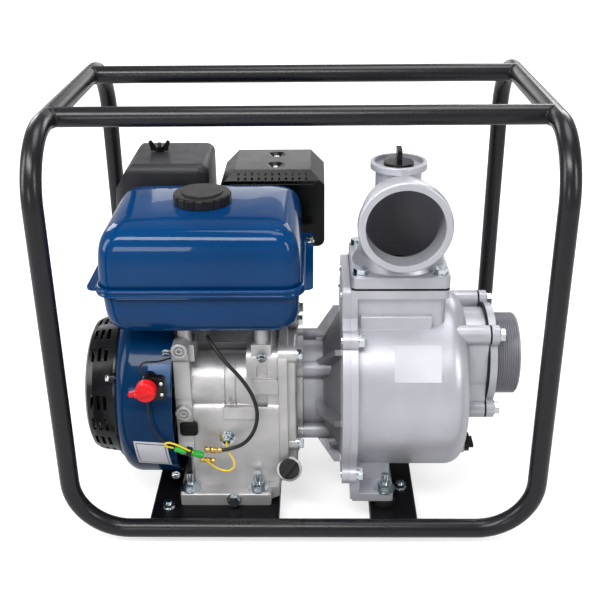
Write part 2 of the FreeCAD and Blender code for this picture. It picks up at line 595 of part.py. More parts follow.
def make_recoil():
    x0, x1 = COVER_X
    outline = [(x1, 0), (x1, 104), (x1 - 3, 104), (x1 - 3, 98), (x0 + 12, 94), (x0 + 4, 90),
               (x0, 82), (x0, 0)]
    inside = [(x1 + 1, 0), (x1 + 1, 95), (x1 - 3, 95), (x0 + 13, 91), (x0 + 6, 87),
              (x0 + 3, 80), (x0 + 3, 0)]
    shell = lathe_x(outline, CRANK_Y, CRANK_Z).cut(lathe_x(inside, CRANK_Y, CRANK_Z))
    post = crank_rod(x0 + 2, -262, 8.0)
    cutters = []
    lugs = []
    for k in range(18):
        angle = COVER_ARM + 20.0 * k
        if k % 6 == 0:
            lugs.append(about_crank(rod((x1 - 8, 0, COVER_SCREW_R), (1, 0, 0), 8.0, 8), angle))
            continue
        for a in (x0 + 9, x0 + 18, x0 + 27):
            cutters.append(about_crank(box(a, a + 4.5, -10, 10, 84, 110), angle))
        cutters.append(about_crank(box(x0 - 1, x0 + 4, -3.5, 3.5, 40, 72), angle))
    exit_boss = rod((ROPE_X, ROPE_Y - 14, ROPE_Z), (0, 1, 0), 9.0, 15)
    shell = fuse(shell.cut(cutters), post, exit_boss, *lugs)
    parts["recoil_cover"] = shell.cut(rod((ROPE_X, ROPE_Y - 30, ROPE_Z), (0, 1, 0), 3.0, 40))

    drum = crank_rod(-286, -263, 58)
    groove = crank_rod(-280, -267, 60).cut(crank_rod(-280, -267, 46))
    pulley = drum.cut([groove, crank_rod(-287, -262, 8.0 + RUN_FIT)])
    windows = []
    for k in range(5):
        hole = xrod(-290, -260, CRANK_Y, CRANK_Z + 28, 9)
        hole.rotate(V(0, CRANK_Y, CRANK_Z), V(1, 0, 0), 72.0 * k)
        windows.append(hole)
    parts["recoil_pulley"] = pulley.cut(windows)

    rope = rod((ROPE_X, ROPE_Y + 6 - ROPE_LEN, ROPE_Z), (0, 1, 0), 2.0, ROPE_LEN)
    bar = rod((ROPE_X, ROPE_Y + 12, ROPE_Z - 30), (0, 0, 1), 8.0, 60)
    bar = round_at(bar, 5.0, lambda c: abs(c.z - ROPE_Z) > 29)
    stem = Part.makeCone(6.0, 8.0, 9.0, V(ROPE_X, ROPE_Y + 1.5, ROPE_Z), V(0, 1, 0))
    parts["starter_grip"] = fuse(rope, bar, stem)


def make_switch():
    x, y, z = SWITCH_POINT
    base = round_along(box(x - 8, x + 24, y + 1, y + 11, z - 18, z + 14), (0, 1, 0), 6.0)
    parts["switch_base"] = fuse(base, rod(SWITCH_POINT, (0, 1, 0), 9.0, 30))
    knob = rod((x, y - 0.4, z), (0, -1, 0), SWITCH_R, 13)
    knob = round_at(knob, 2.0, lambda c: c.y < y - 12)
    tab = round_along(box(-23, 0, -10, -5, -3.2, 3.2), (0, 1, 0), 2.5)
    ridge = box(-SWITCH_R, SWITCH_R, -16, -12, -2.5, 2.5)
    marker = fuse(tab, ridge)
    marker.rotate(V(0, 0, 0), V(0, 1, 0), -12)
    marker.translate(V(*SWITCH_POINT))
    stem = rod((x, y - 1, z), (0, 1, 0), 3.0, 5)
    parts["switch_knob"] = fuse(knob, marker)
    parts["switch_base"] = parts["switch_base"].cut(stem)


def tank_half(z0, z1, inset, rim, low):
    """One pressed half of the fuel tank, rounded on the rim away from the seam."""
    x0, x1 = TANK_X[0] + inset, TANK_X[1] - inset
    y0, y1 = TANK_Y[0] + inset, TANK_Y[1] - inset
    if low:
        shape = round_along(box(x0, x1, y0, y1, z0 + inset, z1), (0, 0, 1), TANK_CORNER - inset)
        return round_at(shape, rim, lambda c: c.z < z0 + inset + 0.1)
    shape = round_along(box(x0, x1, y0, y1, z0, z1 - inset), (0, 0, 1), TANK_CORNER - inset)
    return round_at(shape, rim, lambda c: c.z > z1 - inset - 0.1)


def tank_flange(z0, z1):
    rim = box(TANK_X[0] - 17, TANK_X[1] + 17, TANK_Y[0] + 14, TANK_Y[1] + 5, z0, z1)
    front = box(TANK_X[0] + 8, TANK_X[1] - 2, TANK_Y[0] - 5, TANK_Y[0] + 40, z0, z1)
    flange = round_along(rim, (0, 0, 1), 14.0)
    return fuse(flange, round_along(front, (0, 0, 1), 12.0))


def make_tank():
    low, seam, high = TANK_Z
    cx, cy = CAP_XY
    sheet = TANK_SHEET
    upper = fuse(tank_half(seam, high, 0, 24, False), tank_flange(seam, seam + sheet))
    upper = fuse(upper, zrod(cx, cy, high - 2, high + 2, 36))
    upper = upper.cut([tank_half(seam - 1, high, sheet, 22, False),
                       zrod(cx, cy, high - 30, high + 10, 29)])
    parts["fuel_tank_upper"] = upper
    lower = fuse(tank_half(low, seam, 0, 26, True), tank_flange(seam - sheet, seam))
    parts["fuel_tank_lower"] = lower.cut(tank_half(low, seam + 1, sheet, 24, True))

    skirt = zrod(cx, cy, high + 2.4, high + 15, CAP_R)
    notches = []
    for k in range(18):
        notch = zrod(cx + CAP_R + 1.2, cy, high, high + 20, 2.6)
        notch.rotate(V(cx, cy, 0), V(0, 0, 1), 20.0 * k)
        notches.append(notch)
    skirt = round_at(skirt, 3.0, lambda c: c.z > high + 14.9).cut(notches)
    dome = zrod(cx, cy, high + 14, high + 17, 27)
    plug = zrod(cx, cy, high - 10, high + 3, 28.4)
    parts["fuel_cap"] = fuse(skirt, round_at(dome, 1.5, lambda c: c.z > high + 16.9), plug)


def make_air_cleaner():
    tray = round_along(box(-262, -145, 48, 160, 318, 345), (0, 0, 1), 18.0)
    tray = tray.cut(round_along(box(-259, -148, 51, 157, 322, 346), (0, 0, 1), 15.0))
    stud = zrod(WING_XY[0], WING_XY[1], 319, 458, 3.0)
    y, z = CARB_YZ
    elbow = sweep(bent_path([(-203, y, z), (-232, y, z), (-232, y, 322)], [24]), 15.0)
    bore = sweep(bent_path([(-203, y, z), (-232, y, z), (-232, y, 325)], [24]), 12.0)
    parts["air_cleaner_base"] = fuse(tray, elbow, stud).cut(bore)
    element = round_along(box(-254, -154, 57, 151, 322.5, 412), (0, 0, 1), 24.0)
    core = round_along(box(-236, -172, 75, 133, 321, 404), (0, 0, 1), 14.0)
    parts["air_filter_element"] = element.cut([core, zrod(*WING_XY, 320, 430, 4.5)])
    cover = pad_box(*FILTER_X, *FILTER_Y, 345.4, FILTER_TOP, 16, 12)
    lid = [(-300, 380), (-300, 460), (-226, 460), (-252, 438), (-268, 410), (-272, 380)]
    cover = cover.cut(polygon_y(lid, 30, 180))
    room = pad_box(FILTER_X[0] + 5, FILTER_X[1] - 3, FILTER_Y[0] + 3, FILTER_Y[1] - 3,
                   344, FILTER_TOP - 3, 13, 9)
    cutter = [(-300, 376), (-300, 460), (-224, 460), (-248, 434), (-263.5, 407), (-268, 376)]
    room = room.cut(polygon_y(cutter, 30, 180))
    parts["air_cleaner_cover"] = cover.cut([room, zrod(*WING_XY, 400, 460, 4.0)])
    x, y = WING_XY
    nut = fuse(zrod(x, y, 445.4, 453, 6.5), box(x - 13, x + 13, y - 1.6, y + 1.6, 446, 451))
    wings = [polygon_y([(4, 449), (13, 449), (16, 460), (12, 462), (5, 453)], -1.6, 1.6),
             polygon_y([(-4, 449), (-13, 449), (-16, 460), (-12, 462), (-5, 453)], -1.6, 1.6)]
    for wing in wings:
        wing.translate(V(x, y, 0))
    parts["wing_nut"] = fuse(nut, *wings).cut(zrod(x, y, 440, 462, 3.0 + RUN_FIT))


def make_carburetor():
    y, z = CARB_YZ
    body = fuse(xrod(-203, -160, y, z, 15), box(-194, -168, y - 18, y + 18, z - 20, z + 16))
    bowl = zrod(-181, y, z - 46, z - 18, 21)
    flange = round_along(box(-160, -155, y - 16, y + 16, z - 28, z + 28), (1, 0, 0), 10.0)
    body = fuse(body, round_at(bowl, 5.0, lambda c: c.z < z - 45.9), flange)
    bore = xrod(-204, -150, y, z, CARB_BORE)
    parts["carburetor"] = body.cut(bore)
    lever = box(-3.5, 3.5, 0, 2.5, 0, 34)
    lever = fuse(round_along(lever, (0, 1, 0), 3.0), rod((0, 0, 0), (0, 1, 0), 6.0, 2.5),
                 rod((0, 0, 30), (0, 1, 0), 4.5, 9))
    lever.rotate(V(0, 0, 0), V(0, 1, 0), -60)
    lever.translate(V(*CHOKE_POINT))
    parts["choke_lever"] = lever


def make_throttle():
    bracket = fuse(box(-214, -188, 20, 48, 280, 283), zrod(*THROTTLE_POINT[:2], 281, 292, 4.0))
    parts["fan_shroud"] = fuse(parts["fan_shroud"], bracket)
    arm = round_along(box(0, 68, -4, 4, 0, 2.5), (0, 0, 1), 3.5)
    knob = round_at(zrod(64, 0, -4, 9, 6.5), 2.0, lambda c: abs(c.z - 9) < 0.1)
    arm = fuse(arm, zrod(0, 0, 0, 2.5, 9.0), knob).cut(zrod(0, 0, -5, 5, 4.0 + RUN_FIT))
    arm.rotate(V(0, 0, 0), V(0, 0, 1), 150)
    arm.translate(V(*THROTTLE_POINT))
    parts["throttle_lever"] = arm


def make_muffler():
    can = round_along(box(*MUFFLER_X, *MUFFLER_Y, *MUFFLER_Z), (1, 0, 0), 12.0)
    (x0, x1), (y0, y1), (z0, z1) = MUFFLER_X, MUFFLER_Y, MUFFLER_Z
    room = box(x0 + MUFFLER_SHEET, x1 - MUFFLER_SHEET, y0 + MUFFLER_SHEET, y1 - MUFFLER_SHEET,
               z0 + MUFFLER_SHEET, z1 - MUFFLER_SHEET)
    can = can.cut([round_along(room, (1, 0, 0), 10.0), rod((-20, 140, 372), (0, 1, 0), 9.0, 12)])
    outlet = rod((-20, 147, 372), (0, 1, 0), 11.0, 14)
    outlet = outlet.cut(rod((-20, 140, 372), (0, 1, 0), 9.0, 30))
    parts["muffler"] = fuse(can, outlet)
    x0, x1 = SHIELD_X
    y0, y1 = SHIELD_Y
    z0, z1 = SHIELD_Z
    outer = shield_block(x0, x1, y0, y1, z0, z1, 20)
    outer = round_along(outer, (0, 1, 0), 11.0, lambda c: c.z < z0 + 0.1)
    inner = shield_block(x0 + 1.5, x1 - 1.5, y0 + 1.5, y1 + 20, z0 - 2, z1 - 1.5, 19.4)
    shell = outer.cut(inner)
    dimples = []
    for x, y in SHIELD_SCREWS:
        dimples.append(Part.makeCone(5.0, 14.5, 6.0, V(x, y, z1 - 5.5)))
    cups = [Part.makeCone(7.0, 15.7, 6.0, V(x, y, z1 - 6.9)) for x, y in SHIELD_SCREWS]
    shell = fuse(shell, *[c.common(box(x0, x1, y0, y1, z1 - 9, z1 - 1)) for c in cups])
    shell = shell.cut(dimples)
    perforations = []
    for row in (z1 - 5.5, z1 - 11.5):
        for k in range(11):
            perforations.append(rod((x0 + 26 + 9.7 * k, y0 - 4, row), (0, 1, 0), 1.6, 18))
    rib = round_along(box(x0 + 14, x1 - 14, y0 - 1.4, y0 + 0.6, 410, 416.5), (1, 0, 0), 1.0,
                      lambda c: c.y < y0)
    parts["muffler_shield"] = fuse(shell.cut(perforations), rib)
    screws = []
    for x, y in SHIELD_SCREWS:
        head = round_at(zrod(x, y, z1 - 5.5, z1 - 2.5, 4.2), 1.2, lambda c: c.z > z1 - 2.6)
        screws.append(fuse(head, zrod(x, y, 420, z1 - 5, 2.4)))
    face = COVER_X[1] - 8
    for k in range(3):
        screw = bolt((face, 0, COVER_SCREW_R), (-1, 0, 0), 2.6, 13.0)
        screws.append(about_crank(screw, COVER_ARM + 120.0 * k))
    parts["cover_screws"] = Part.makeCompound(screws)
    pipe_route = [(-59, 60.4, 289.5), (-59, 54.1, 303.0), (-59, 80, 330)]
    path = bent_path(pipe_route, [16])
    pipe = sweep(path, 11.5).cut(sweep(path, 9.5))
    parts["exhaust_pipe"] = pipe.cut([parts["cylinder_head"], box(-80, -40, 50, 110, 330, 345)])


def shield_block(x0, x1, y0, y1, z0, z1, cut):
    """A box with its top side edges and front top edge bevelled."""
    outline = [(x0, z0), (x1, z0), (x1, z1 - cut), (x1 - cut, z1), (x0 + cut, z1), (x0, z1 - cut)]
    block = polygon_y(outline, y0, y1)
    wedge = polygon_x([(y0, z1 + 1), (y0, z1 - 14), (y0 + 10, z1), (y0 + 10, z1 + 1)],
                      x0 - 1, x1 + 1)
    return block.cut(wedge)


# ---- pump ----------------------------------------------------------------------------
def flange_outline(x0, x1, radius, tower_top):
    disc = xrod(x0, x1, CRANK_Y, DRUM_Z, radius)
    tower = box(x0, x1, *TOWER_Y, DRUM_Z, tower_top)
    tower = round_along(tower, (1, 0, 0), 10.0, lambda c: c.z > tower_top - 1)
    ears = [xrod(x0, x1, y, z, 13) for y, z in CASING_BOLTS[:4]]
    return fuse(disc, tower, *ears)


def make_adapter():
    x0, x1 = FLANGE_X[:2]
    barrel = crank_rod(0, 34, 60)
    arms = [xrod(0, 40, CRANK_Y + a, CRANK_Z + b, 11) for a in (-49, 49) for b in (-49, 49)]
    flare = Part.makeCone(62, 104, x0 - 28, V(28, CRANK_Y, CRANK_Z), V(1, 0, 0))
    flange = flange_outline(x0, x1, FLANGE_R, OUTLET_Z + 2)
    ribs = []
    for angle in (40, 90, 140, 220, 320):
        rib = box(18, x0 + 1, -4, 4, 40, 112)
        rib = rib.cut(polygon_y([(17, 74), (17, 120), (x0 - 4, 120)], -6, 6))
        rib.rotate(V(0, 0, 0), V(1, 0, 0), angle)
        rib.translate(V(0, CRANK_Y, CRANK_Z))
        ribs.append(rib)
    stub = xrod(36, x0 + 2, -150, 108, 6)
    body = fuse(barrel, flare, flange, stub, *arms, *ribs)
    room = fuse(crank_rod(-1, 30, 50), Part.makeCone(50, 84, 16, V(28, CRANK_Y, CRANK_Z), V(1, 0, 0)))
    windows = [box(4, 30, CRANK_Y - 20, CRANK_Y + 20, 30, CRANK_Z - 40)]
    parts["pump_adapter"] = body.cut([room, crank_rod(30, 70, 26)] + windows)
    seal = crank_rod(x0 - 6, x1 + 14, 26).cut(crank_rod(x0 - 6, x1 + 14, PUMP_SHAFT_R + RUN_FIT))
    parts["shaft_seal"] = seal


def make_casing():
    x0, x1 = FLANGE_X[1], FLANGE_X[2]
    drum = xrod(x1 - 1, DRUM_END, CRANK_Y, DRUM_Z, DRUM_R)
    drum = round_at(drum, 26.0, lambda c: c.x > DRUM_END - 1)
    tower = box(*TOWER_X, TOWER_Y[0] + 7, TOWER_Y[1] - 7, DRUM_Z, OUTLET_Z)
    tower = round_along(tower, (0, 0, 1), 8.0)
    rim = round_along(box(x0, 191, *TOWER_Y, OUTLET_Z - 12, OUTLET_Z), (0, 0, 1), 8.0,
                      lambda c: c.x > 100)
    flange = flange_outline(x0, x1, FLANGE_R, OUTLET_Z)
    port = xrod(DRUM_END - 30, PORT_X[0], CRANK_Y, PORT_Z, 64)
    lobes = [xrod(DRUM_END - 30, PORT_X[0], CRANK_Y + a, PORT_Z + b, 13)
             for a in (-PORT_BOLT, PORT_BOLT) for b in (-PORT_BOLT, PORT_BOLT)]
    webbing = round_along(box(DRUM_END - 30, PORT_X[0], CRANK_Y - 62, CRANK_Y + 62, PORT_Z - 50,
                              PORT_Z + 50), (1, 0, 0), 10.0)
    foot = box(67, 123, -190, 34, FOOT_UNDER, FOOT_TOP)
    foot = round_along(foot, (0, 0, 1), 3.0)
    strip = box(x0 + 1, 77, -190, 34, 40, 92)
    walls = [box(75, 119, y, y + 8, 45, 110) for y in (-158, -6)]
    saddle = box(70, 119, -140, -16, 40, 80)
    shoulder = round_along(box(77, 170, TOWER_Y[0] + 1, TOWER_Y[1] - 1, 200, 294.5), (1, 0, 0), 3.0,
                           lambda c: c.z > 294)
    drain_boss = xrod(DRUM_END - 6, DRUM_END + 4, *DRAIN_YZ, 15)
    body = fuse(drum, tower, rim, flange, port, *lobes, webbing, foot, strip, *walls, saddle,
                shoulder, drain_boss)
    inside = xrod(x0 - 1, DRUM_END - DRUM_WALL, CRANK_Y, DRUM_Z, DRUM_R - DRUM_WALL)
    inside = round_at(inside, 20.0, lambda c: c.x > DRUM_END - DRUM_WALL - 1)
    outlet = zrod(OUTLET_X, CRANK_Y, DRUM_Z, OUTLET_Z + 1, ELBOW_BORE)
    suction = xrod(DRUM_END - 30, PORT_X[0] + 1, CRANK_Y, PORT_Z, FLAP_ROOM_R)
    swing = round_along(box(DRUM_END - 30, 234, CRANK_Y - 53.5, CRANK_Y + 53.5, PORT_Z - 40,
                            PORT_Z + 47), (1, 0, 0), 6.0)
    notch = box(236, PORT_X[0] + 1, CRANK_Y - 13, CRANK_Y + 13, PORT_Z + 40, PORT_Z + 60)
    drain = xrod(DRUM_END - 20, DRUM_END + 10, *DRAIN_YZ, 9)
    parts["pump_casing"] = body.cut([inside, outlet, suction, swing, notch, drain])
    pads = []
    for x, y in PUMP_FOOT_BOLTS:
        pads.append(zrod(x, y, PLATE_Z, FOOT_UNDER, 15).cut(zrod(x, y, 0, 60, MOUNT_HOLE_R)))
    parts["pump_isolators"] = Part.makeCompound(pads)


def make_pump_inside():
    shell = crank_rod(FLANGE_X[1] + 0.2, 142, 90).cut([crank_rod(60, 134, 82), crank_rod(130, 150, 38)])
    spout = zrod(104, CRANK_Y - 60, CRANK_Z, 244, 26).cut(zrod(104, CRANK_Y - 60, CRANK_Z, 270, 20))
    spout = spout.cut(crank_rod(60, 150, 84))
    shell = shell.cut(zrod(104, CRANK_Y - 60, CRANK_Z + 30, 270, 20))
    parts["volute"] = fuse(shell, spout)
    hub = crank_rod(80, 118, 22)
    back = crank_rod(84, 90, 76)
    vanes = []
    for k in range(4):
        outer_arc = xrod(90, 126, CRANK_Y + 36, CRANK_Z + 8, 42)
        inner_arc = xrod(89, 127, CRANK_Y + 36, CRANK_Z + 8, 36)
        vane = outer_arc.cut([inner_arc, box(88, 128, CRANK_Y - 80, CRANK_Y + 100, 0, CRANK_Z)])
        vane = vane.common(crank_rod(88, 128, 76))
        vane.rotate(V(0, CRANK_Y, CRANK_Z), V(1, 0, 0), 90.0 * k)
        vanes.append(vane)
    wheel = fuse(hub, back, *vanes)
    parts["impeller"] = wheel.cut(crank_rod(60, 112, PUMP_SHAFT_R))


def lobed_plate(x0, x1, disc_r):
    disc = xrod(x0, x1, CRANK_Y, PORT_Z, disc_r)
    lobes = [xrod(x0, x1, CRANK_Y + a, PORT_Z + b, 13)
             for a in (-PORT_BOLT, PORT_BOLT) for b in (-PORT_BOLT, PORT_BOLT)]
    return fuse(disc, *lobes)


def make_suction():
    x1, x2, x3, x4 = PORT_X
    gasket = lobed_plate(x1, x2, 71)
    parts["suction_gasket"] = gasket.cut(xrod(x1, x2, CRANK_Y, PORT_Z, PORT_BORE))
    flange = fuse(lobed_plate(x2, x3, 70), xrod(x3, x4, CRANK_Y, PORT_Z, PORT_R))
    parts["suction_flange"] = flange.cut(xrod(x2, x4, CRANK_Y, PORT_Z, PORT_BORE))
    flap = xrod(x1 - 5.4, x1 - 0.4, CRANK_Y, PORT_Z, 51)
    weight = xrod(x1 - 10, x1 - 5, CRANK_Y, PORT_Z, 30)
    lug = box(x1 - 5.4, x1 - 0.4, CRANK_Y - 10, CRANK_Y + 10, PORT_Z + 40, FLAP_HINGE[1])
    barrel = rod((FLAP_HINGE[0], CRANK_Y - 11, FLAP_HINGE[1]), (0, 1, 0), 2.5, 22)
    parts["check_flap"] = fuse(flap, weight, lug, barrel)


def elbow_path(low, front):
    points = [(OUTLET_X, CRANK_Y, low), (OUTLET_X, CRANK_Y, ELBOW_Z), (OUTLET_X, front, ELBOW_Z)]
    return bent_path(points, [ELBOW_BEND])


def make_discharge():
    z0, z1 = OUTLET_Z, OUTLET_Z + 3
    gasket = round_along(box(*PLATE_X, *TOWER_Y, z0, z1), (0, 0, 1), 8.0)
    parts["discharge_gasket"] = gasket.cut(zrod(OUTLET_X, CRANK_Y, z0, z1, ELBOW_BORE))
    plate = round_along(box(*PLATE_X, *TOWER_Y, z1, PLATE_TOP), (0, 0, 1), 8.0)
    plate = round_at(plate, 2.0, lambda c: c.z > PLATE_TOP - 0.1)
    parts["discharge_flange"] = plate.cut(zrod(OUTLET_X, CRANK_Y, z0, PLATE_TOP + 1, ELBOW_BORE))
    bend = sweep(elbow_path(PLATE_TOP, ELBOW_FACE + 2), ELBOW_R)
    skirt = Part.makeCone(61, ELBOW_R - 1, 16, V(OUTLET_X, CRANK_Y, PLATE_TOP))
    collar = rod((OUTLET_X, ELBOW_FACE, ELBOW_Z), (0, 1, 0), COLLAR_R, 15)
    collar = round_at(collar, 2.8, lambda c: c.y < ELBOW_FACE + 0.1)
    neck = zrod(*NECK_XY, ELBOW_Z + 5, DISH[0] + 1, NECK_R)
    dish = zrod(*NECK_XY, *DISH, DISH_R)
    dish = round_at(dish, 1.5, lambda c: abs(c.z - DISH[1]) < 0.1)
    body = fuse(skirt, bend, collar, neck, dish)
    bores = [sweep(elbow_path(PLATE_TOP - 1, ELBOW_FACE - 1), ELBOW_BORE),
             zrod(*NECK_XY, ELBOW_Z, DISH_FLOOR + 1, 17.4),
             zrod(*NECK_XY, DISH_FLOOR, DISH[1] + 4, DISH_R - 5)]
    parts["discharge_elbow"] = body.cut(bores)
    plug = fuse(zrod(*NECK_XY, 464, DISH_FLOOR + 1, 17.0), zrod(*NECK_XY, DISH_FLOOR + 0.4, 485.5, 19.5))
    plug = round_at(plug, 1.0, lambda c: c.z > 485.4)
    fin = box(NECK_XY[0] - 3.2, NECK_XY[0] + 3.2, CRANK_Y - 12, CRANK_Y + 12, 485, FIN_TOP)
    fin = round_along(fin, (1, 0, 0), 3.0, lambda c: c.z > FIN_TOP - 1)
    parts["priming_plug"] = fuse(plug, fin)


def make_drain_plug():
    y, z = DRAIN_YZ
    face = DRUM_END + 4
    plug = fuse(xrod(face - 14, face + 1, y, z, 8.7), xrod(face + 0.4, face + 7, y, z, 13))
    bar = round_along(box(face + 6, face + 13, y - 12, y + 12, z - 3, z + 3), (1, 0, 0), 2.5)
    parts["pump_drain_plug"] = fuse(plug, bar)


def make_pump_bolts():
    bolts = []
    for y, z in CASING_BOLTS:
        bolts.append(bolt((FLANGE_X[2], y, z), (1, 0, 0), 5.0, 22.0))
    for a in (-PORT_BOLT, PORT_BOLT):
        for b in (-PORT_BOLT, PORT_BOLT):
            bolts.append(bolt((PORT_X[2], CRANK_Y + a, PORT_Z + b), (1, 0, 0), 5.0, 24.0))
            bolts.append(bolt((OUTLET_X + a * 0.93, CRANK_Y + b * 0.93, PLATE_TOP),
                              (0, 0, 1), 5.0, 34.0))
    parts["pump_bolts"] = Part.makeCompound(bolts)


# ---- wiring ---------------------------------------------------------------------------
def make_wiring():
    parts["stop_cable"] = cord("stop_cable", STOP_CABLE, CABLE_R)
    parts["sensor_wire"] = cord("sensor_wire", SENSOR_WIRE, WIRE_R)
    leads = [cord("lower_lead", LOWER_LEAD, WIRE_R), cord("upper_lead", UPPER_LEAD, WIRE_R)]
    parts["switch_leads"] = Part.makeCompound(leads)
    sleeve = rod((-169, -204, 133), (25, 1.5, -9), 5.0, 38)
    joints = [rod((-108, -187, 118), (-1, 0, 0.05), 5.0, 24),
              rod((-118, -187, 101), (-1, 0, 0.1), 4.0, 22)]
    parts["wire_connectors"] = Part.makeCompound([sleeve] + joints)


# ---- assembly --------------------------------------------------------------------------
def seat_fasteners(fasteners, holders):
    """Cut each holder's holes to the fasteners that go through it."""
    for name in holders:
        parts[name] = parts[name].cut(parts[fasteners])


make_frame()
make_crankcase()
parts["crankcase_side_cover"] = make_side_cover()
make_dipstick()
make_cylinder_head()
make_engine_fasteners()
make_crank()
make_flywheel()
make_shroud()
make_recoil()
make_switch()
make_tank()
make_air_cleaner()
make_carburetor()
make_throttle()
make_muffler()
make_adapter()
make_casing()
make_pump_inside()
make_suction()
make_discharge()
make_drain_plug()
make_pump_bolts()
make_wiring()

seat_fasteners("base_mount_bolts", ("crankcase", "pump_casing"))
seat_fasteners("engine_bolts", ("crankcase", "crankcase_side_cover", "pump_adapter"))
seat_fasteners("oil_level_switch", ("crankcase",))
parts["crankcase"] = parts["crankcase"].cut(dipstick_room())
seat_fasteners("pump_bolts", ("pump_adapter", "pump_casing", "suction_gasket", "suction_flange",
                              "discharge_gasket", "discharge_flange"))
seat_fasteners("cover_screws", ("muffler_shield", "recoil_cover", "fan_shroud"))
seat_fasteners("crankcase_side_cover", ("crankcase",))
seat_fasteners("switch_base", ("fan_shroud",))

os.makedirs("parts", exist_ok=True)
for name in sorted(parts):
    shape = parts[name]
    shape.exportStep("parts/%s.step" % name)
print(len(parts), "nodes")
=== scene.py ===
"""Looks for the petrol engine water pump: materials, wiring, tank, thread, welds and small trim
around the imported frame.  Sizes are millimetres in the frame's axes, and every mesh is made in
metres; the camera, materials and studio are in metres."""

import json
import math

import bmesh
import bpy
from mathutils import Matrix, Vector


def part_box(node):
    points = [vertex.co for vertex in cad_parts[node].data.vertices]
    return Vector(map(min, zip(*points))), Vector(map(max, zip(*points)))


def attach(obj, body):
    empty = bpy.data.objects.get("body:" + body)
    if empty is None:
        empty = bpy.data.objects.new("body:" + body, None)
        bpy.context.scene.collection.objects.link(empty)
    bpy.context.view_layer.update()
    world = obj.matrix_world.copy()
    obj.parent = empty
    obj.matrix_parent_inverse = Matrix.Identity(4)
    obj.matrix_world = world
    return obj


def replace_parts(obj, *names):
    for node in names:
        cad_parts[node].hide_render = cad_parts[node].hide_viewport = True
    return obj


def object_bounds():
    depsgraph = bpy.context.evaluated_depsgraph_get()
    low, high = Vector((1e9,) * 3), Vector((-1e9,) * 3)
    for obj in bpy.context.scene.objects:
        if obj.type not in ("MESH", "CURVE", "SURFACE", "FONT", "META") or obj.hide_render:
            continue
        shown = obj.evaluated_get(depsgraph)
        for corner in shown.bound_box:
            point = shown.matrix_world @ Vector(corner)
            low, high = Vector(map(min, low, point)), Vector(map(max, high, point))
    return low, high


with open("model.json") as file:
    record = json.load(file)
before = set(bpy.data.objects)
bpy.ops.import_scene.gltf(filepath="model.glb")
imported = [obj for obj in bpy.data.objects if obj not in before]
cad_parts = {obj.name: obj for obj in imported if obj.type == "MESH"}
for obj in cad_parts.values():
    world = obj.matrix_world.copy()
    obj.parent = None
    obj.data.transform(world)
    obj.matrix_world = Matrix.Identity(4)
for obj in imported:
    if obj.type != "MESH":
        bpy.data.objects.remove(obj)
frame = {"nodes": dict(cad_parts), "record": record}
cad_low, cad_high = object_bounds()
MM = 0.001

# ---- driving dimensions --------------------------------------------------------------
CAMERA_PLACE = (0.0188, -1.2618, 0.8452)
CAMERA_TURN = (64.860, 0.549, 0.826)      # Euler angles, degrees
CAMERA_LENS = 57.27
SENSOR = 36.0


def box_mm(node):
    """The lowest and highest corners of a CAD node at rest, in millimetres to a tenth."""
    return [[round(c / MM, 1) for c in corner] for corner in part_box(node)]


bars_low, bars_high = box_mm("frame_top_bars")
hoop_low, hoop_high = box_mm("frame_right_hoop")
TUBE_R = 0.5 * (bars_high[2] - bars_low[2])
LEG_X = bars_high[0]                      # middle of the cage's legs
TOP_BARS = ((bars_low[1] + TUBE_R, bars_high[2] - TUBE_R),
            (bars_high[1] - TUBE_R, bars_high[2] - TUBE_R))
BASE_RAILS = ((hoop_low[1] + TUBE_R, hoop_low[2] + TUBE_R),
              (hoop_high[1] - TUBE_R, hoop_low[2] + TUBE_R))
RAIL_BEAD_R = TUBE_R - 0.2                # the ground-down joint in each base rail

port_low, port_high = box_mm("suction_flange")
MID_Y = 0.5 * (port_low[1] + port_high[1])    # shared by the port, the pump and the crankshaft
PORT_Z = 0.5 * (port_low[2] + port_high[2])
PORT_BORE = 48.0
SPIGOT_FROM_X = port_low[0] + 9.5
SPIGOT_R = (55.5, 57.5)                   # the smooth spigot's surface lies between these
THREAD_X = (port_low[0] + 11.0, port_high[0])
THREAD_PITCH = 2.9
THREAD_CREST = 56.4
THREAD_ROOT = 53.9
THREAD_FADE = (1.2, 2.2)                  # run-in at the flange, run-out at the mouth
THREAD_ROWS = 92
THREAD_SIDES = 96
SPIGOT_SHRUNK = THREAD_ROOT - 0.5

shroud_low = box_mm("fan_shroud")[0]
SHROUD_R = MID_Y - shroud_low[1]
SHROUD_AXIS = (MID_Y, shroud_low[2] + SHROUD_R)   # y, z
PUMP_R = 123.0
PUMP_AXIS = (MID_Y, 171.0)

tank_low, tank_high = box_mm("fuel_tank_lower")
cap_low, cap_high = box_mm("fuel_cap")
SEAM_OUT = 5.0                            # the rolled seam's reach past the tank's widest outline
TANK_X = (-255.0, 0.0)
TANK_Y = (tank_low[1] + SEAM_OUT, tank_high[1] - SEAM_OUT)
TANK_CORNER = 22.0
SEAM_Z = tank_high[2]
FILLER = (0.5 * (cap_low[0] + cap_high[0]), 0.5 * (cap_low[1] + cap_high[1]), 430.0)
EAR_Y = (TANK_Y[0] + 14.0, TANK_Y[1] - 2.0)
EARS = ((tank_low[0], -250.0, *EAR_Y), (-5.0, 15.0, *EAR_Y))
EAR_THICK = 3.0
EAR_CORNER = 12.0
EAR_BOLTS = ((-264.0, -14.0), (8.5, -14.0))

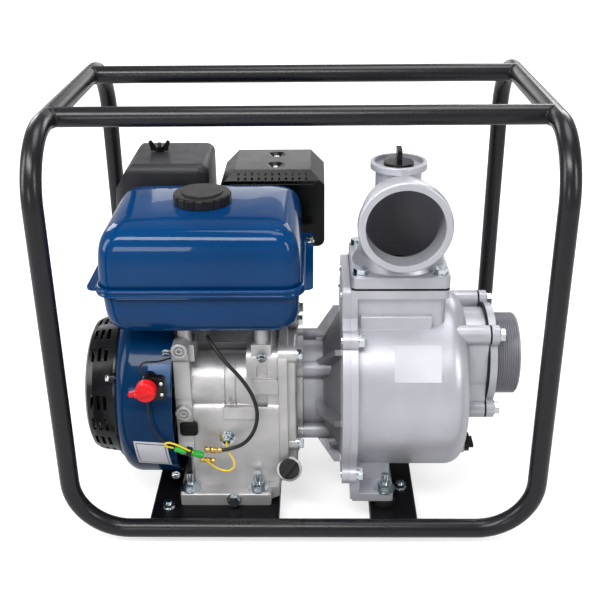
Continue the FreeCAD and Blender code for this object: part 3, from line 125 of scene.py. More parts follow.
# wire routes, as in the CAD
STOP_CABLE = [(-125, -150, 272), (-114, -164, 260), (-100, -175, 246), (-82, -181, 229),
              (-67, -183, 206), (-59, -184, 180), (-61, -184, 155), (-71, -185, 134),
              (-88, -186, 121), (-108, -187, 118)]
SENSOR_WIRE = [(-103, -178, 125), (-103, -181.5, 119), (-99, -184, 110), (-93, -188, 102),
               (-92, -190, 93), (-99, -191, 87), (-110, -191, 88), (-120, -192, 95),
               (-129, -194, 105), (-136, -199, 116), (-145, -206, 127), (-156, -209, 136),
               (-167, -209, 142), (-176, -208.5, 144.5), (-181.5, -208, 142),
               (-181.5, -206.3, 136.8), (-170.5, -204.5, 133.3)]
LOWER_LEAD = [(-199, -205, 210), (-199, -210, 200), (-198, -211, 184), (-195, -209.5, 167),
              (-189, -207, 153), (-180, -203.5, 141), (-170, -201.5, 130.5)]
UPPER_LEAD = [(-197, -206, 242), (-200, -209, 247), (-205, -209.5, 252), (-205, -207.5, 259),
              (-199, -205, 263), (-190, -201, 261), (-181, -193, 257), (-170, -176, 253)]


# ---- camera --------------------------------------------------------------------------
def make_camera():
    data = bpy.data.cameras.new("camera")
    data.lens = CAMERA_LENS
    data.sensor_width = SENSOR
    data.clip_start = 0.05
    data.clip_end = 60.0
    camera = bpy.data.objects.new("camera", data)
    camera.location = CAMERA_PLACE
    camera.rotation_euler = [math.radians(a) for a in CAMERA_TURN]
    bpy.context.scene.collection.objects.link(camera)
    bpy.context.scene.camera = camera


make_camera()


# ---- materials -----------------------------------------------------------------------
class Shader:
    """One material with its principled shader, in the part's own object coordinates."""

    def __init__(self, name, colour, rough, metal=0.0, coat=0.0, coat_rough=0.05, specular=0.5):
        self.material = bpy.data.materials.new(name)
        self.material.use_nodes = True
        self.tree = self.material.node_tree
        self.main = self.tree.nodes["Principled BSDF"]
        self.main.inputs["Base Color"].default_value = (*colour, 1.0)
        self.main.inputs["Roughness"].default_value = rough
        self.main.inputs["Metallic"].default_value = metal
        self.main.inputs["Coat Weight"].default_value = coat
        self.main.inputs["Coat Roughness"].default_value = coat_rough
        self.main.inputs["Specular IOR Level"].default_value = specular
        self.colour = colour
        self.rough = rough
        self.place = self.node("ShaderNodeTexCoord").outputs["Object"]
        self.bump = None

    def node(self, kind, **settings):
        made = self.tree.nodes.new(kind)
        for key, value in settings.items():
            setattr(made, key, value)
        return made

    def link(self, out, into):
        self.tree.links.new(out, into)

    def noise(self, scale, detail):
        """Cloudy values from 0 to 1."""
        made = self.node("ShaderNodeTexNoise")
        made.inputs["Scale"].default_value = scale
        made.inputs["Detail"].default_value = detail
        self.link(self.place, made.inputs["Vector"])
        return made.outputs["Fac"]

    def spread(self, value, low, high, start=0.3, end=0.7):
        """Stretch the part of a value between start and end over low to high."""
        made = self.node("ShaderNodeMapRange", clamp=True)
        made.inputs["From Min"].default_value = start
        made.inputs["From Max"].default_value = end
        made.inputs["To Min"].default_value = low
        made.inputs["To Max"].default_value = high
        self.link(value, made.inputs["Value"])
        return made.outputs["Result"]

    def vary(self, scale, dark, light):
        """Colour drifts between a darker and a lighter shade of itself."""
        mix = self.node("ShaderNodeMix", data_type="RGBA")
        mix.inputs["A"].default_value = (*[c * dark for c in self.colour], 1.0)
        mix.inputs["B"].default_value = (*[min(c * light, 1.0) for c in self.colour], 1.0)
        self.link(self.spread(self.noise(scale, 4.0), 0.0, 1.0), mix.inputs["Factor"])
        self.link(mix.outputs["Result"], self.main.inputs["Base Color"])
        return self

    def gloss(self, scale, spread):
        """Roughness drifts by spread either way."""
        low, high = max(self.rough - spread, 0.03), self.rough + spread
        self.link(self.spread(self.noise(scale, 4.0), low, high), self.main.inputs["Roughness"])
        return self

    def grain(self, scale, depth, detail):
        """Bump from noise.  Calls add up."""
        made = self.node("ShaderNodeBump")
        made.inputs["Strength"].default_value = 1.0
        made.inputs["Distance"].default_value = depth
        self.link(self.noise(scale, detail), made.inputs["Height"])
        if self.bump:
            self.link(self.bump, made.inputs["Normal"])
        self.bump = made.outputs["Normal"]
        self.link(self.bump, self.main.inputs["Normal"])
        return self

    def soft_edges(self, radius):
        """Edges catch the light as if rounded.  Called before grain."""
        made = self.node("ShaderNodeBevel", samples=4)
        made.inputs["Radius"].default_value = radius
        self.bump = made.outputs["Normal"]
        self.link(self.bump, self.main.inputs["Normal"])
        return self


CAST_EDGE = 1.2 * MM


def painted(name, colour, rough, peel, coat=0.0, coat_rough=0.04, specular=0.3, edge=0.8 * MM):
    made = Shader(name, colour, rough, coat=coat, coat_rough=coat_rough, specular=specular)
    made.vary(9.0, 0.90, 1.12).gloss(35.0, 0.03).soft_edges(edge)
    return made.grain(420.0, peel, 2.0).material


def casting(name, colour, rough, metal, depth, drift=0.05):
    made = Shader(name, colour, rough, metal=metal, specular=0.4)
    made.vary(26.0, 1.0 - drift, 1.0 + drift).gloss(150.0, 0.03).soft_edges(CAST_EDGE)
    return made.grain(1500.0, depth, 3.0).grain(260.0, depth * 0.7, 2.0).material


def banded(name, stops, reach):
    """A casting whose colour changes along X; stops are (x, grey) from 0 to reach, in metres."""
    made = Shader(name, (stops[0][1],) * 3, 0.42, metal=0.5, specular=0.4)
    split = made.node("ShaderNodeSeparateXYZ")
    made.link(made.place, split.inputs[0])
    ramp = made.node("ShaderNodeValToRGB")
    bands = ramp.color_ramp.elements
    while len(bands) < len(stops):
        bands.new(0.5)
    for band, (x, grey) in zip(bands, stops):
        band.position = x / reach
        band.color = (grey, grey, 1.1 * grey, 1.0)
    made.link(made.spread(split.outputs["X"], 0.0, 1.0, start=0.0, end=reach), ramp.inputs["Fac"])
    made.link(ramp.outputs["Color"], made.main.inputs["Base Color"])
    made.gloss(150.0, 0.04).soft_edges(CAST_EDGE)
    return made.grain(1500.0, 6e-5, 3.0).grain(260.0, 4e-5, 2.0).material


def machined(name, colour, rough):
    made = Shader(name, colour, rough, metal=1.0)
    made.vary(60.0, 0.90, 1.06).gloss(300.0, 0.04).soft_edges(0.3 * MM)
    return made.grain(1500.0, 6e-6, 2.0).material


def moulded(name, colour, rough, texture, scale=1400.0, specular=0.35, edge=0.8 * MM):
    made = Shader(name, colour, rough, coat_rough=0.08, specular=specular)
    made.vary(14.0, 0.85, 1.2).gloss(60.0, 0.04).soft_edges(edge)
    return made.grain(scale, texture, 2.0).material


# greys along the pump adapter: the dark band from 32 to 50 mm is painted shade on the bell housing;
# the lighter greys at either end are the casting's own colour
PUMP_ADAPTER_GREYS_AND_SHADE = ((14 * MM, 0.34), (32 * MM, 0.15), (50 * MM, 0.15), (52.5 * MM, 0.42))
PUMP_ADAPTER_END = 80 * MM
LOOKS = {}


def add_look(kind, name, *values, **more):
    LOOKS[name] = kind(name, *values, **more)


add_look(painted, "frame_black", (0.007, 0.007, 0.009), 0.28, 2e-5, specular=0.34)
add_look(painted, "plate_black", (0.003, 0.003, 0.004), 0.40, 4e-5, specular=0.10)
add_look(painted, "engine_blue", (0.0003, 0.020, 0.066), 0.20, 1e-5, coat=0.16, specular=0.05)
add_look(painted, "tank_blue", (0.0002, 0.034, 0.122), 0.12, 3e-6, coat=0.34, coat_rough=0.02,
         specular=0.05)
add_look(painted, "shield_black", (0.002, 0.002, 0.002), 0.26, 2e-5, specular=0.20)
add_look(casting, "cast_aluminium", (0.46, 0.452, 0.458), 0.42, 0.65, 9e-5, drift=0.14)
add_look(casting, "pump_aluminium", (0.46, 0.462, 0.505), 0.38, 0.50, 3e-5)
add_look(banded, "dark_casting", PUMP_ADAPTER_GREYS_AND_SHADE, PUMP_ADAPTER_END)
add_look(casting, "thread_aluminium", (0.30, 0.30, 0.33), 0.34, 0.6, 2e-5)
add_look(casting, "cast_iron", (0.10, 0.10, 0.105), 0.6, 0.6, 2e-4)
add_look(machined, "muffler_steel", (0.30, 0.28, 0.26), 0.45)
add_look(machined, "machined_steel", (0.55, 0.55, 0.56), 0.25)
add_look(machined, "zinc", (0.60, 0.65, 0.68), 0.20)
add_look(moulded, "rubber", (0.008, 0.008, 0.008), 0.68, 6e-5, 900.0, specular=0.2)
add_look(moulded, "black_plastic", (0.004, 0.004, 0.005), 0.26, 1e-5, specular=0.28)
add_look(moulded, "cap_plastic", (0.009, 0.008, 0.009), 0.42, 5e-5, 1800.0, specular=0.25)
add_look(moulded, "matte_black", (0.016, 0.016, 0.019), 0.46, 9e-5, 1100.0, specular=0.4)
add_look(moulded, "red_plastic", (0.62, 0.010, 0.014), 0.34, 1e-5, specular=0.25, edge=0.6 * MM)
add_look(moulded, "wire_black", (0.008, 0.008, 0.008), 0.42, 2e-5, 2200.0, edge=0.1 * MM)
add_look(moulded, "wire_yellow", (0.75, 0.55, 0.01), 0.40, 1e-5, 2200.0, edge=0.1 * MM)
add_look(moulded, "wire_green", (0.02, 0.36, 0.04), 0.30, 2e-5, 2200.0, edge=0.1 * MM)
add_look(moulded, "filter_foam", (0.18, 0.15, 0.10), 0.85, 4e-4, 700.0)
add_look(moulded, "gasket_black", (0.008, 0.008, 0.008), 0.6, 3e-5, specular=0.2)
add_look(machined, "brass", (0.62, 0.42, 0.14), 0.30)
add_look(painted, "label_white", (0.50, 0.51, 0.55), 0.34, 5e-6, edge=0.2 * MM)
add_look(painted, "label_blue", (0.030, 0.080, 0.19), 0.34, 5e-6, edge=0.2 * MM)
add_look(painted, "label_ink", (0.012, 0.02, 0.05), 0.34, 5e-6, edge=0.2 * MM)
# the pump adapter's dark_casting look holds a band of painted shade
NODE_LOOKS = {"fuel_cap": "cap_plastic", "dipstick": "cap_plastic", "pump_adapter": "dark_casting"}


def dress_cad():
    """Every CAD node takes the look of its material slot in the record."""
    for part in frame["record"]["subparts"]:
        node = frame["nodes"][part["node"]]
        material = LOOKS[NODE_LOOKS.get(part["node"], part["material_slot"])]
        if not node.material_slots:
            node.data.materials.append(material)
        for each in node.material_slots:
            each.material = material


dress_cad()


# ---- mesh helpers --------------------------------------------------------------------
def full_turn(count):
    """Equally spaced angles round a circle."""
    return [2 * math.pi * k / count for k in range(count)]


def ring_faces(rings, sides, looped=False):
    """Quads between rings of points, with a cap at either end unless the last meets the first."""
    faces = []
    for i in range(rings if looped else rings - 1):
        a, b = i * sides, ((i + 1) % rings) * sides
        for k in range(sides):
            faces.append((a + k, a + (k + 1) % sides, b + (k + 1) % sides, b + k))
    if not looped:
        faces.append(tuple(range(sides))[::-1])
        faces.append(tuple((rings - 1) * sides + k for k in range(sides)))
    return faces


def place(obj, look, body):
    """Put a new piece in the scene with its look and its body."""
    bpy.context.scene.collection.objects.link(obj)
    obj.data.materials.append(LOOKS[look])
    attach(obj, body)
    return obj


def mesh_piece(name, points, faces, look, slot=None, smooth=True):
    """A new piece on the fixed body, from points and faces."""
    mesh = bpy.data.meshes.new(name)
    mesh.from_pydata([tuple(p) for p in points], [], faces)
    mesh.validate()
    bm = bmesh.new()
    bm.from_mesh(mesh)
    bmesh.ops.recalc_face_normals(bm, faces=bm.faces)
    bm.to_mesh(mesh)
    bm.free()
    for face in mesh.polygons:
        face.use_smooth = smooth
    return place(bpy.data.objects.new(name, mesh), look, "root")


def tube_mesh(path, radii, closed=False, sides=12):
    """Points and faces of a round tube along a path, with a radius at each point."""
    count = len(path)
    points = []
    side = None
    for i, centre in enumerate(path):
        before = path[(i - 1) % count] if closed else path[max(i - 1, 0)]
        after = path[(i + 1) % count] if closed else path[min(i + 1, count - 1)]
        heading = (after - before).normalized()
        if side is None:
            side = heading.orthogonal().normalized()
        side = (side - heading * side.dot(heading)).normalized()
        other = heading.cross(side)
        for angle in full_turn(sides):
            points.append(centre + radii[i] * (math.cos(angle) * side + math.sin(angle) * other))
    return points, ring_faces(count, sides, closed)


def turned(profile, centre, axis, sides=64):
    """Points and faces of a closed (distance, radius) outline turned about an axis."""
    axis = Vector(axis).normalized()
    side = axis.orthogonal().normalized()
    other = axis.cross(side)
    points = []
    for angle in full_turn(sides):
        out = math.cos(angle) * side + math.sin(angle) * other
        points += [Vector(centre) + axis * d + out * r for d, r in profile]
    return points, ring_faces(sides, len(profile), looped=True)


# ---- wiring --------------------------------------------------------------------------
def wire_curve(name, route, radius, look, node):
    """A smooth wire whose control points are the CAD route's points."""
    curve = bpy.data.curves.new(name, "CURVE")
    curve.dimensions = "3D"
    curve.bevel_depth = radius
    curve.bevel_resolution = 4
    curve.use_fill_caps = True
    spline = curve.splines.new("NURBS")
    spline.points.add(len(route) - 1)
    for point, place_mm in zip(spline.points, route):
        point.co = (*(Vector(place_mm) * MM), 1.0)
    spline.order_u = 3
    spline.use_endpoint_u = True
    spline.resolution_u = 8
    obj = place(bpy.data.objects.new(name, curve), look, "root")
    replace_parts(obj, node)
    return obj


# name, route, radius, look, CAD node, length in metres
WIRES = (("stop_cable_sheath", STOP_CABLE, 2.6, "wire_black", "stop_cable", 0.213),
         ("sensor_wire_run", SENSOR_WIRE, 1.2, "wire_yellow", "sensor_wire", 0.169),
         ("lower_switch_lead", LOWER_LEAD, 1.2, "wire_black", "switch_leads", 0.090),
         ("upper_switch_lead", UPPER_LEAD, 1.2, "wire_black", "switch_leads", 0.070))


def make_wiring():
    for name, route, radius, look, node, length in WIRES:
        obj = wire_curve(name, route, radius * MM, look, node)


make_wiring()


# ---- fuel tank -----------------------------------------------------------------------
# outlines are (inset from the tank's widest outline, height)
CROWN = [(0.0, 349.5), (0.2, 365), (0.8, 383), (1.7, 395), (3.0, 404), (4.8, 411.0), (7.4, 417.0),
         (10.8, 421.8), (15.2, 425.6), (21.0, 428.2), (29.0, 429.9), (42.0, 431.0), (60.0, 431.5),
         (76.0, 431.6), (88.0, 431.6)]
BELLY = [(2.6, 348.5), (3.0, 335), (3.8, 320), (5.2, 308), (8.2, 299), (13.0, 292), (20.0, 287.6),
         (30.0, 286.2), (60.0, 286)]
# and the seam's is (reach past that outline, height)
ROLLED_SEAM = [(-1.0, 355.4), (2.4, 355.2), (4.4, 354.2), (SEAM_OUT, 352.6), (4.2, 350.8),
               (3.2, 349.6), (3.2, 348.8), (4.2, 347.8), (SEAM_OUT, 346.4), (4.4, 344.8),
               (2.0, 343.8), (-1.0, 343.6)]
# the filler neck's is (height, radius)
NECK = [(0.0, 31.0), (0.0, 36.0), (1.4, 36.0), (1.9, 35.4), (1.9, 31.0)]


def rounded_ring(x0, x1, y0, y1, corner, z, steps=9):
    """Points of a rounded rectangle at one height, in millimetres."""
    corner = max(min(corner, 0.5 * (x1 - x0) - 0.5, 0.5 * (y1 - y0) - 0.5), 0.3)
    points = []
    centres = ((x1 - corner, y1 - corner, 0), (x0 + corner, y1 - corner, 90),
               (x0 + corner, y0 + corner, 180), (x1 - corner, y0 + corner, 270))
    for cx, cy, start in centres:
        for k in range(steps + 1):
            angle = math.radians(start + 90.0 * k / steps)
            points.append(Vector((cx + corner * math.cos(angle), cy + corner * math.sin(angle), z)))
    return points


def stacked(rings, closed=False):
    """Points and faces of a skin over rings, capped at both ends unless it closes on itself."""
    points = [p * MM for ring in rings for p in ring]
    return points, ring_faces(len(rings), len(rings[0]), closed)


def tank_rings(outline):
    """The tank's rounded rectangles at each step of an outline."""
    x0, x1 = TANK_X
    y0, y1 = TANK_Y
    return [rounded_ring(x0 + i, x1 - i, y0 + i, y1 - i, TANK_CORNER + 0.12 * i, z)
            for i, z in outline]


# rings of a bolt head are (lift, spread), both in shares of its size
WASHER_RINGS = ((0.0, 1.30), (0.22, 1.30), (0.34, 1.16))
HEXAGON_RINGS = ((0.36, 1.0), (0.95, 1.0), (1.12, 0.82))
HEAD_SIDES = 36


def bolt_head(name, seat, out, size, washer=True):
    """A flanged hexagon head with a chamfered crown; seat and size in millimetres."""
    out = Vector(out).normalized()
    side = out.orthogonal().normalized()
    other = out.cross(side)
    rings = [(lift, spread, True) for lift, spread in WASHER_RINGS if washer]
    rings += [(lift, spread, False) for lift, spread in HEXAGON_RINGS]
    points = []
    for lift, spread, is_round in rings:
        for angle in full_turn(HEAD_SIDES):
            facet = (angle % (math.pi / 3)) - math.pi / 6
            reach = size * spread * (1.0 if is_round else 0.92 / math.cos(facet))
            points.append((Vector(seat) + out * lift * size
                           + side * reach * math.cos(angle) + other * reach * math.sin(angle)) * MM)
    faces = ring_faces(len(rings), HEAD_SIDES)
    mesh_piece(name, points, faces, "zinc", smooth=False)


def make_tank():
    crown = mesh_piece("tank_crown", *stacked(tank_rings(CROWN)), "tank_blue")
    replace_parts(crown, "fuel_tank_upper")
    belly = mesh_piece("tank_belly", *stacked(tank_rings(BELLY)), "tank_blue")
    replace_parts(belly, "fuel_tank_lower")
    rings = [rounded_ring(TANK_X[0] - out, TANK_X[1] + out, TANK_Y[0] - out, TANK_Y[1] + out,
                          TANK_CORNER + out, z) for out, z in ROLLED_SEAM]
    seam = mesh_piece("tank_seam", *stacked(rings, closed=True), "tank_blue")
    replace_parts(seam, "fuel_tank_lower")
    for name, ear in zip(("tank_ear_left", "tank_ear_right"), EARS):
        edge = [rounded_ring(*ear, EAR_CORNER, SEAM_Z - 0.5 * EAR_THICK),
                rounded_ring(*ear, EAR_CORNER, SEAM_Z + 0.5 * EAR_THICK)]
        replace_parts(mesh_piece(name, *stacked(edge), "tank_blue", smooth=False), "fuel_tank_lower")
    for k, (x, y) in enumerate(EAR_BOLTS):
        bolt_head("tank_bolt_%d" % k, (x, y, SEAM_Z + 0.5 * EAR_THICK), (0, 0, 1), size=6.0)
    ring = turned([(d * MM, r * MM) for d, r in NECK], Vector(FILLER) * MM, (0, 0, 1))
    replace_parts(mesh_piece("filler_neck_ring", *ring, "zinc", slot="tank_blue"), "fuel_tank_upper")


make_tank()


# ---- threaded suction port -----------------------------------------------------------
def port_point(x, radius, angle):
    """A point round the suction port's axis, in metres."""
    return Vector((x, MID_Y + radius * math.cos(angle), PORT_Z + radius * math.sin(angle))) * MM


def thread_radius(x, angle):
    """Distance of the thread's surface from the port's axis."""
    turn = (x - THREAD_X[0]) / THREAD_PITCH - angle / (2 * math.pi)
    wave = abs(2.0 * (turn % 1.0) - 1.0)
    fade = min(1.0, (x - THREAD_X[0]) / THREAD_FADE[0], (THREAD_X[1] - x) / THREAD_FADE[1])
    return THREAD_ROOT + (THREAD_CREST - THREAD_ROOT) * max(fade, 0.0) * min(1.25 * wave, 1.0)


def make_thread():
    """The flange keeps its CAD shape; its plain spigot shrinks under a helical thread."""
    mesh = frame["nodes"]["suction_flange"].data.copy()
    for vertex in mesh.vertices:
        out = Vector((0.0, vertex.co.y - MID_Y * MM, vertex.co.z - PORT_Z * MM))
        on_spigot = SPIGOT_R[0] * MM < out.length < SPIGOT_R[1] * MM
        if on_spigot and vertex.co.x > SPIGOT_FROM_X * MM:
            vertex.co -= out.normalized() * (out.length - SPIGOT_SHRUNK * MM)
    mesh.materials.clear()
    flange = place(bpy.data.objects.new("suction_flange_body", mesh), "pump_aluminium", "root")
    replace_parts(flange, "suction_flange")

    points = []
    for i in range(THREAD_ROWS + 1):
        x = THREAD_X[0] + (THREAD_X[1] - THREAD_X[0]) * i / THREAD_ROWS
        points += [port_point(x, thread_radius(x, a), a) for a in full_turn(THREAD_SIDES)]
    for x in (THREAD_X[1], THREAD_X[0]):
        points += [port_point(x, PORT_BORE, a) for a in full_turn(THREAD_SIDES)]
    faces = ring_faces(THREAD_ROWS + 3, THREAD_SIDES, looped=True)
    thread = mesh_piece("suction_thread", points, faces, "thread_aluminium", slot="pump_aluminium",
                        smooth=False)
    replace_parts(thread, "suction_flange")


make_thread()


# ---- wire joints ---------------------------------------------------------------------
SLEEVE = [(0.0, 3.4), (1.0, 4.6), (3.0, 5.0), (15.0, 4.8), (16.0, 5.9), (22.5, 5.9), (23.5, 4.8),
          (38.0, 4.9), (39.5, 4.2), (40.0, 3.0)]
JOINT = [(0.0, 2.6), (0.6, 4.0), (2.5, 4.2), (7.0, 4.2), (7.6, 3.4), (9.0, 3.4), (9.6, 4.6),
         (16.0, 4.6), (16.6, 3.2), (19.0, 3.2), (20.0, 4.2), (23.0, 4.2), (24.0, 2.6)]
BAND = [(15.4, 5.2), (15.8, 6.4), (18.4, 6.6), (19.2, 6.0), (20.2, 6.7), (22.8, 6.4), (23.2, 5.2)]
SLEEVE_START = (-169, -204, 133)
SLEEVE_WAY = (25, 1.5, -9)
AXIS_R = 0.02            # a turned outline ends this close to its axis


def spindle(name, profile, start, way, look):
    """A solid turned piece along a line; its (distance, radius) outline is closed on the axis."""
    outline = [(profile[0][0], AXIS_R)] + list(profile) + [(profile[-1][0], AXIS_R)]
    shape = turned([(d * MM, r * MM) for d, r in outline], Vector(start) * MM, way, 28)
    slot = "machined_steel" if look == "brass" else look
    piece = mesh_piece(name, *shape, look, slot=slot)
    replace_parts(piece, "wire_connectors")


def make_wire_joints():
    spindle("green_sleeve", SLEEVE, SLEEVE_START, SLEEVE_WAY, "wire_green")
    spindle("sleeve_band", BAND, SLEEVE_START, SLEEVE_WAY, "wire_black")
    spindle("upper_joint", JOINT, (-108, -187, 118), (-1, 0, 0.05), "brass")
    lower = [(d * 0.9, r * 0.86) for d, r in JOINT]
    spindle("lower_joint", lower, (-118, -187, 101), (-1, 0, 0.1), "brass")


make_wire_joints()


# ---- stickers ------------------------------------------------------------------------
# corners are (x, degrees from the top towards the front)
WARNING_CORNERS = [(-224.0, 98.9), (-180.0, 100.6), (-178.5, 124.5), (-222.2, 121.0)]
SWITCH_CORNERS = [(-201.0, 49.0), (-171.5, 49.0), (-171.5, 68.0), (-201.0, 68.0)]
PLATE_CORNERS = [(120.5, 42.1), (181.5, 42.1), (180.5, 64.9), (119.5, 64.9)]
STICKER_SLOTS = {"label_white": "pump_aluminium", "label_ink": "matte_black",
                 "label_blue": "engine_blue"}


def wrapped_patch(name, axis, radius, corners, thick, look, steps=10):
    """A thin four cornered sheet on a cylinder along X."""
    points = []
    for layer in (0.0, thick):
        for i in range(steps + 1):
            for k in range(steps + 1):
                s, t = i / steps, k / steps
                weights = ((1 - s) * (1 - t), s * (1 - t), s * t, (1 - s) * t)
                x = sum(w * c[0] for w, c in zip(weights, corners))
                angle = math.radians(sum(w * c[1] for w, c in zip(weights, corners)))
                reach = radius + layer
                points.append(Vector((x, axis[0] - reach * math.sin(angle),
                                      axis[1] + reach * math.cos(angle))) * MM)
    side = steps + 1
    top = side * side
    faces = []
    for i in range(steps):
        for k in range(steps):
            a, b, c, d = i * side + k, (i + 1) * side + k, (i + 1) * side + k + 1, i * side + k + 1
            faces += [(a, b, c, d), (top + a, top + d, top + c, top + b)]
    rim = ([i * side for i in range(side)] + [steps * side + k for k in range(1, side)]
           + [i * side + steps for i in range(steps - 1, -1, -1)] + list(range(steps - 1, 0, -1)))
    for here, there in zip(rim, rim[1:] + rim[:1]):
        faces.append((here, there, top + there, top + here))
    return mesh_piece(name, points, faces, look, slot=STICKER_SLOTS[look], smooth=False)


def inset_corners(corners, dx, turn):
    """Move each corner of a patch towards its middle."""
    mid_x = sum(c[0] for c in corners) / 4
    mid_turn = sum(c[1] for c in corners) / 4
    return [(x - math.copysign(dx, x - mid_x), a - math.copysign(turn, a - mid_turn))
            for x, a in corners]


def make_stickers():
    line = inset_corners(WARNING_CORNERS, dx=2.4, turn=1.5)
    field = inset_corners(WARNING_CORNERS, dx=3.4, turn=2.1)
    wrapped_patch("shroud_sticker", SHROUD_AXIS, SHROUD_R, WARNING_CORNERS, 0.35, "label_white")
    wrapped_patch("shroud_sticker_line", SHROUD_AXIS, SHROUD_R + 0.2, line, 0.3, "label_ink")
    wrapped_patch("shroud_sticker_field", SHROUD_AXIS, SHROUD_R + 0.3, field, 0.3, "label_white")
    wrapped_patch("switch_back_plate", SHROUD_AXIS, SHROUD_R, SWITCH_CORNERS, 0.4, "label_blue")
    wrapped_patch("drum_plate", PUMP_AXIS, PUMP_R, PLATE_CORNERS, 0.5, "label_white")


make_stickers()


# ---- welds ---------------------------------------------------------------------------
def inside_frame(points):
    """Keep points within the box of the CAD parts."""
    return [Vector(min(max(c, low), high) for c, low, high in zip(p, cad_low, cad_high))
            for p in points]


def bead(name, line, size, swell, pace, sides):
    """A lumpy ring of weld along a closed line of points in millimetres."""
    radii = [(size + swell * math.sin(pace * k)) * MM for k in range(len(line))]
    points, faces = tube_mesh([p * MM for p in line], radii, closed=True, sides=sides)
    mesh_piece(name, inside_frame(points), faces, "frame_black")


def make_welds():
    """Each cross bar is welded to the legs' tubes; each base rail has one joint in its middle."""
    for side, hand in ((-1, "left"), (1, "right")):
        for (y, z), end in zip(TOP_BARS, ("front", "back")):
            line = []
            for angle in full_turn(40):
                across, up = TUBE_R * math.cos(angle), TUBE_R * math.sin(angle)
                reach = LEG_X - math.sqrt(TUBE_R ** 2 - up ** 2)
                line.append(Vector((side * reach, y + across, z + up)))
            bead("bar_weld_%s_%s" % (hand, end), line, size=1.7, swell=0.272, pace=2.7, sides=8)
    for (y, z), end in zip(BASE_RAILS, ("front", "back")):
        line = [Vector((0.0, y + RAIL_BEAD_R * math.cos(a), z + RAIL_BEAD_R * math.sin(a)))
                for a in full_turn(32)]
        bead("rail_joint_%s" % end, line, size=0.55, swell=0.1, pace=2.1, sides=6)


make_welds()


# ---- small trim on the engine --------------------------------------------------------
def cushion(name, low, high, soft, look, ridges):
    """A soft edged block with raised ribs across its front, in millimetres."""
    x0, y0, z0 = low
    x1, y1, z1 = high
    rings = []
    for inset, share in ((soft, 0.0), (0.3 * soft, 0.12), (0.0, 0.4), (0.0, 1.0)):
        ring = rounded_ring(x0 + inset, x1 - inset, z0 + inset, z1 - inset, 2.0 * soft, 0.0, 5)
        rings.append([Vector((p.x, y0 + (y1 - y0) * share, p.y)) for p in ring])
    mesh_piece(name, *stacked(rings), look)
    for k in range(ridges):
        z = z0 + (z1 - z0) * (k + 1) / (ridges + 1)
        line = [Vector((x0 + 2 * soft, y0, z)), Vector((0.5 * (x0 + x1), y0 - 0.3, z)),
                Vector((x1 - 2 * soft, y0, z))]
        mesh_piece("%s_rib_%d" % (name, k), *tube_mesh([p * MM for p in line], [0.6 * MM] * 3), look)


# name, seat, way out, size
TRIM_BOLTS = (("case_bolt_low", (-176.0, -170.0, 66.0), (0, -1, 0), 4.6),
              ("bracket_bolt_left", (-178.0, -159.0, 252.0), (0, -0.9, -0.4), 5.4),
              ("bracket_bolt_right", (-53.0, -163.0, 247.0), (0, -0.9, -0.4), 5.4))
SWITCH_SCREWS = ((-179.0, -210.0, 219.0), (-179.0, -210.0, 235.0))


def make_trim():
    cushion("case_grommet", (-166.0, -172.5, 130.0), (-142.0, -167.0, 151.0), soft=2.4,
            look="rubber", ridges=2)
    for name, seat, out, size in TRIM_BOLTS:
        bolt_head(name, seat, out, size)
    for k, seat in enumerate(SWITCH_SCREWS):
        bolt_head("switch_screw_%d" % k, seat, (0, -1, 0), size=2.4, washer=False)


make_trim()


# ---- studio --------------------------------------------------------------------------
GLOSS_SHARE = 0.35         # how much of the white surroundings gloss shows
WORLD_LIGHT = 0.42
SKY_LOW = 1.0              # the pale backdrop near the horizon
SKY_HIGH = 0.10            # the dark room above it
SKY_BAND = (0.10, 0.36)    # where one turns into the other, as the sine of elevation
FLOOR_SIZE = 60.0
FLOOR_GREY = 0.45
FLOOR_GLOW = (0.66, 1.0)   # how white the floor looks under the part and far from it
FLOOR_BAND = (0.3, 1.6)    # distances from the middle between which that changes
AIM = (0.0, 0.0, 0.25)
# name, place, size, watts, point it faces
LAMPS = (("key", (-0.45, -1.15, 1.75), (1.3, 0.45), 28.0, AIM),
         ("side_strip", (1.35, -1.2, 1.1), (0.3, 0.9), 11.0, AIM),
         ("left", (-2.0, -0.5, 1.1), (0.7, 1.3), 22.0, AIM),
         ("top", (0.3, 0.2, 2.3), (1.1, 1.1), 20.0, AIM),
         ("back_right", (1.1, 2.1, 1.55), (1.0, 0.8), 15.0, AIM),
         ("back_left", (-1.5, 1.9, 1.45), (0.8, 0.8), 12.0, AIM),
         ("front_low", (-0.62, -1.85, 0.72), (0.5, 0.35), 4.0, (-0.2, -0.18, 0.4)),
         ("back_low", (-0.15, 2.3, 0.98), (1.0, 0.5), 2.6, (-0.1, 0.0, 0.4)))


def seen_or_reflected(tree):
    """1 for camera and refracted rays, part of that for reflected rays, else 0."""
    rays = tree.nodes.new("ShaderNodeLightPath")
    total = rays.outputs["Is Camera Ray"]
    for name, share in (("Is Glossy Ray", GLOSS_SHARE), ("Is Transmission Ray", 1.0)):
        add = tree.nodes.new("ShaderNodeMath")
        add.operation = "MULTIPLY_ADD"
        add.use_clamp = True
        add.inputs[1].default_value = share
        tree.links.new(rays.outputs[name], add.inputs[0])
        tree.links.new(total, add.inputs[2])
        total = add.outputs[0]
    return total


def smooth_range(tree, value, band, ends):
    """A shader value that eases from ends[0] to ends[1] across a band."""
    made = tree.nodes.new("ShaderNodeMapRange")
    made.interpolation_type = "SMOOTHSTEP"
    made.inputs["From Min"].default_value = band[0]
    made.inputs["From Max"].default_value = band[1]
    made.inputs["To Min"].default_value = ends[0]
    made.inputs["To Max"].default_value = ends[1]
    tree.links.new(value, made.inputs["Value"])
    return made.outputs["Result"]


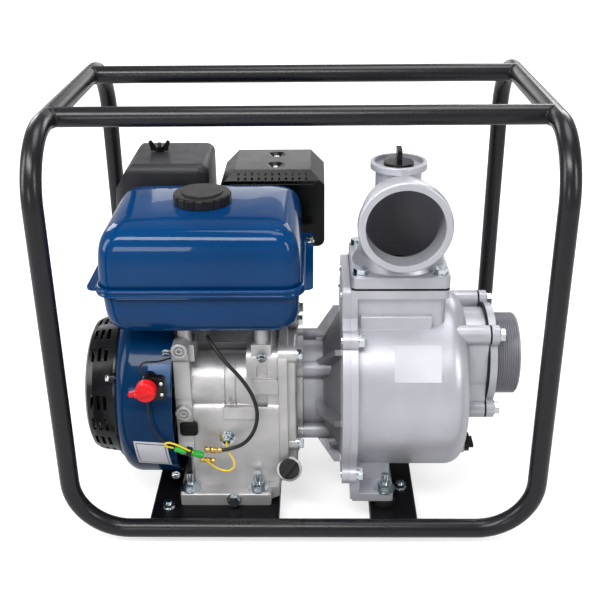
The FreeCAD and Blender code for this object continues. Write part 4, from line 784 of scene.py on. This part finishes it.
def make_world():
    """White to the camera, dark overhead in reflections, and even light elsewhere."""
    world = bpy.data.worlds.new("studio")
    bpy.context.scene.world = world
    world.use_nodes = True
    tree = world.node_tree
    back = tree.nodes["Background"]
    back.inputs["Color"].default_value = (1.0, 1.0, 1.0, 1.0)
    way = tree.nodes.new("ShaderNodeTexCoord")
    split = tree.nodes.new("ShaderNodeSeparateXYZ")
    tree.links.new(way.outputs["Generated"], split.inputs[0])
    sky = smooth_range(tree, split.outputs["Z"], SKY_BAND, (SKY_LOW, SKY_HIGH))
    rays = tree.nodes.new("ShaderNodeLightPath")
    white = tree.nodes.new("ShaderNodeMath")
    white.operation = "MAXIMUM"
    tree.links.new(sky, white.inputs[0])
    tree.links.new(rays.outputs["Is Camera Ray"], white.inputs[1])
    level = tree.nodes.new("ShaderNodeMix")
    level.inputs["A"].default_value = WORLD_LIGHT
    tree.links.new(seen_or_reflected(tree), level.inputs["Factor"])
    tree.links.new(white.outputs[0], level.inputs["B"])
    tree.links.new(level.outputs["Result"], back.inputs["Strength"])


def make_floor():
    """Matt ground that looks white to the camera and greyer close to the part."""
    bpy.ops.mesh.primitive_plane_add(size=FLOOR_SIZE, location=(0, 0, 0))
    floor = bpy.context.object
    floor.name = "floor"
    material = bpy.data.materials.new("floor")
    material.use_nodes = True
    tree = material.node_tree
    main = tree.nodes["Principled BSDF"]
    main.inputs["Base Color"].default_value = (FLOOR_GREY, FLOOR_GREY, FLOOR_GREY, 1.0)
    main.inputs["Roughness"].default_value = 0.9
    main.inputs["Emission Color"].default_value = (1.0, 1.0, 1.0, 1.0)
    where = tree.nodes.new("ShaderNodeNewGeometry")
    length = tree.nodes.new("ShaderNodeVectorMath")
    length.operation = "LENGTH"
    tree.links.new(where.outputs["Position"], length.inputs[0])
    glow = smooth_range(tree, length.outputs["Value"], FLOOR_BAND, FLOOR_GLOW)
    times = tree.nodes.new("ShaderNodeMath")
    times.operation = "MULTIPLY"
    tree.links.new(glow, times.inputs[0])
    tree.links.new(seen_or_reflected(tree), times.inputs[1])
    tree.links.new(times.outputs[0], main.inputs["Emission Strength"])
    floor.data.materials.append(material)


def soft_lamp(name, at, size, power, aim):
    """A rectangular lamp that faces a point."""
    data = bpy.data.lights.new(name, "AREA")
    data.shape = "RECTANGLE"
    data.size, data.size_y = size
    data.energy = power
    lamp = bpy.data.objects.new(name, data)
    lamp.location = at
    lamp.rotation_euler = (Vector(aim) - Vector(at)).to_track_quat("-Z", "Y").to_euler()
    bpy.context.scene.collection.objects.link(lamp)


make_world()
make_floor()
for lamp_facts in LAMPS:
    soft_lamp(*lamp_facts)

bpy.context.scene.view_settings.view_transform = "Standard"
